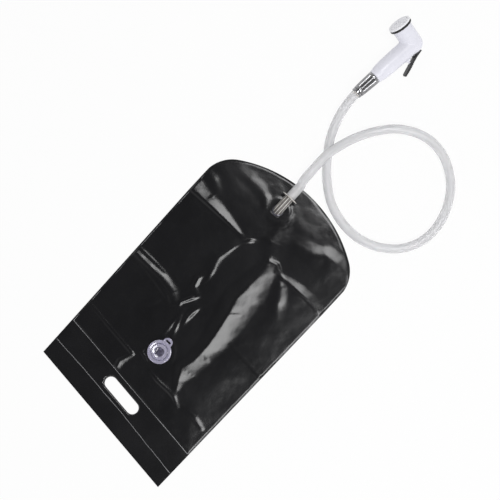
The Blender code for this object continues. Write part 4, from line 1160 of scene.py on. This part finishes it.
def build_handset(handset):
    build_shell(handset)
    build_face(handset)
    build_nut(handset)
    lever = refined_copy("trigger_lever", "squeeze_lever", BLACK, 0.00025, "lever")
    round_tip(lever.data, handset)
    refined_copy("nut_ferrule", "hose_ring", CHROME, 0.0004)
    dress(BRASS, "hose_tail", "valve_seat")
    dress(SHELL, "valve_stem", "valve_gland")
    dress(RUBBER, "nut_washer", "valve_seal", "gland_oring")
    dress(STEEL, "lever_pin")
    build_spring(handset)


# Fill valve and spout

# Where the stopper is clearer and toned darker as painted shade: its dish, and a groove round it
DISH_RADIUS = 0.0082
DEEP_RING = (0.0137, 0.0152)


def build_fill_valve():
    middle = world(*VALVE)
    centre = Matrix.Translation(middle)
    base = [
        (0.017, 0.0054), (0.017, 0.003), (0.0172, 0.0021), (0.0258, 0.0021), (0.026, 0.0018),
        (0.026, 0.0009), (0.0135, 0.0009), (0.0135, 0.0056), (0.014, 0.0058), (0.0166, 0.0058)]
    add_piece("valve_neck", turned_mesh("valve_neck", base, centre), LILAC, "fill_valve_base")
    low = 0.0061
    stopper = [
        (0.0, 0.0034), (0.003, 0.0034), (0.0064, 0.0033), (0.0074, 0.0038), (0.0079, 0.0048),
        (0.0083, 0.0062), (0.0106, 0.0069), (0.013, 0.0074), (0.0135, 0.0075), (0.0139, 0.0073),
        (0.0143, 0.0069), (0.0148, 0.0067), (0.0154, 0.0068), (0.018, 0.0073), (0.0186, 0.0074),
        (0.0206, 0.0069), (0.021, 0.0066), (0.0208, low + 0.0001), (0.0203, low),
        (0.0132, low), (0.0132, 0.0022), (0.0128, 0.0018), (0.0, 0.0018)]
    mesh = turned_mesh("valve_stopper", stopper, centre, closed=False)
    add_piece("valve_stopper", mesh, LILAC, "fill_stopper", "stopper")
    mesh.materials.append(LILAC_SHADE_PAINT)
    # The dish and the groove take the darker clear lilac: painted shade in these hollows
    for face in mesh.polygons:
        away = hypot(face.center.x - middle.x, face.center.y - middle.y)
        face.material_index = int(away < DISH_RADIUS or DEEP_RING[0] < away < DEEP_RING[1])
    build_ear(low)


EAR_RADIUS = 0.0082
EAR_PLACE = 0.0218
EAR_SLOT = 0.002


def build_ear(low):
    """Pull ear with a slot, its outer edge rounded."""
    curve = bpy.data.curves.new("pull_ear", "CURVE")
    curve.dimensions = "2D"
    curve.fill_mode = "BOTH"
    curve.extrude = 0.00045
    curve.bevel_depth = 0.0003
    curve.bevel_resolution = 3
    outline = [(EAR_RADIUS * cos(a), EAR_PLACE + EAR_RADIUS * sin(a))
               for a in np.linspace(-0.62, pi + 0.62, 60)]
    slot = []
    for side in (1.0, -1.0):
        for a in np.linspace(-pi / 2.0, pi / 2.0, 14):
            slot.append((side * (0.0033 + EAR_SLOT * cos(a)),
                         0.0234 + side * EAR_SLOT * sin(a)))
    for points in (outline, slot):
        spline = curve.splines.new("POLY")
        spline.points.add(len(points) - 1)
        for corner, (x, y) in zip(spline.points, points):
            corner.co = (x, y, 0.0, 1.0)
        spline.use_cyclic_u = True
    mesh = plain_mesh(new_object("pull_ear", curve))
    mesh.transform(Matrix.Translation(world(*VALVE, low + 0.00075)))
    piece = add_piece("pull_ear", clean_mesh(shape_of(mesh), "pull_ear"), LILAC, body="stopper")


SPOUT_RIBS = 9
# Height of a rib round one pitch of the tube, from the middle of a groove
RIB_RISE = (0.0, 0.0, 0.2, 0.8, 1.0, 0.8, 0.2, 0.0)
RIB_HEIGHT = 0.0011
GROOVE_RADIUS = 0.00715
SPOUT_BORE = 0.00625


def build_outlet():
    """Ribbed spout tube folded over towards the domed end, with the connector in its mouth."""
    x, y = OUTLET
    start, bend = 0.0048, 0.0095
    low = 0.0098
    path = [world(x, y, start), world(x, y, start + 0.0025)]
    path += [world(x, y + bend * (1.0 - cos(a)), low + bend * sin(a))
             for a in np.linspace(0.0, pi / 2.0, 18)]
    path += [world(x, y + bend + step, low + bend) for step in np.linspace(0.001, 0.019, 12)]
    sides = SPOUT_RIBS * len(RIB_RISE)
    points, count = [], len(path)
    outer = tube_rings(path, [1.0] * count, sides)
    for centre, ring in zip(path, outer):
        for n, corner in enumerate(ring):
            reach = GROOVE_RADIUS + RIB_HEIGHT * RIB_RISE[n % len(RIB_RISE)]
            points.append(centre + (corner - centre) * reach)
    inner = tube_rings(path, [SPOUT_BORE] * count, sides)
    for ring in inner[::-1]:
        points += ring
    mesh = mesh_from("ribbed_spout", points, ring_faces(2 * count, sides))
    add_piece("ribbed_spout", mesh, GROOVE_SHADE_PAINT, "spout_tube")
    mesh.materials.append(HIGHLIGHT_PAINT_MOULDING)
    # Rib tops take the light moulding as painted highlights; the rest of the spout keeps the dark
    # moulding as painted shade
    for face in mesh.polygons:
        ring, n = divmod(face.index, sides)
        face.material_index = int(ring < count - 1 and n % len(RIB_RISE) in (3, 4))
    root = [(0.008, 0.0036), (0.008, 0.0046), (0.0083, 0.0048), (0.009, 0.0046),
            (0.0097, 0.0041), (0.01, 0.0037), (0.0099, 0.0034), (0.0083, 0.0034)]
    turn = Matrix.Translation(world(x, y))
    # The spout's foot in the darker clear lilac, painted shade under the spout
    piece = add_piece("spout_root", turned_mesh("spout_root", root, turn), LILAC_SHADE_PAINT)
    refined_copy("hose_connector", "barbed_connector", HIGHLIGHT_PAINT_MOULDING, 0.0003)
    refined_copy("outlet_flange", "spout_flange", LILAC, 0.0002)


def main():
    add_camera()
    handset = handset_matrix()
    build_hose(handset)
    add_floor()
    add_lights()
    build_bag()
    build_handset(handset)
    build_fill_valve()
    build_outlet()
    bpy.context.scene.view_settings.view_transform = "Standard"


main()
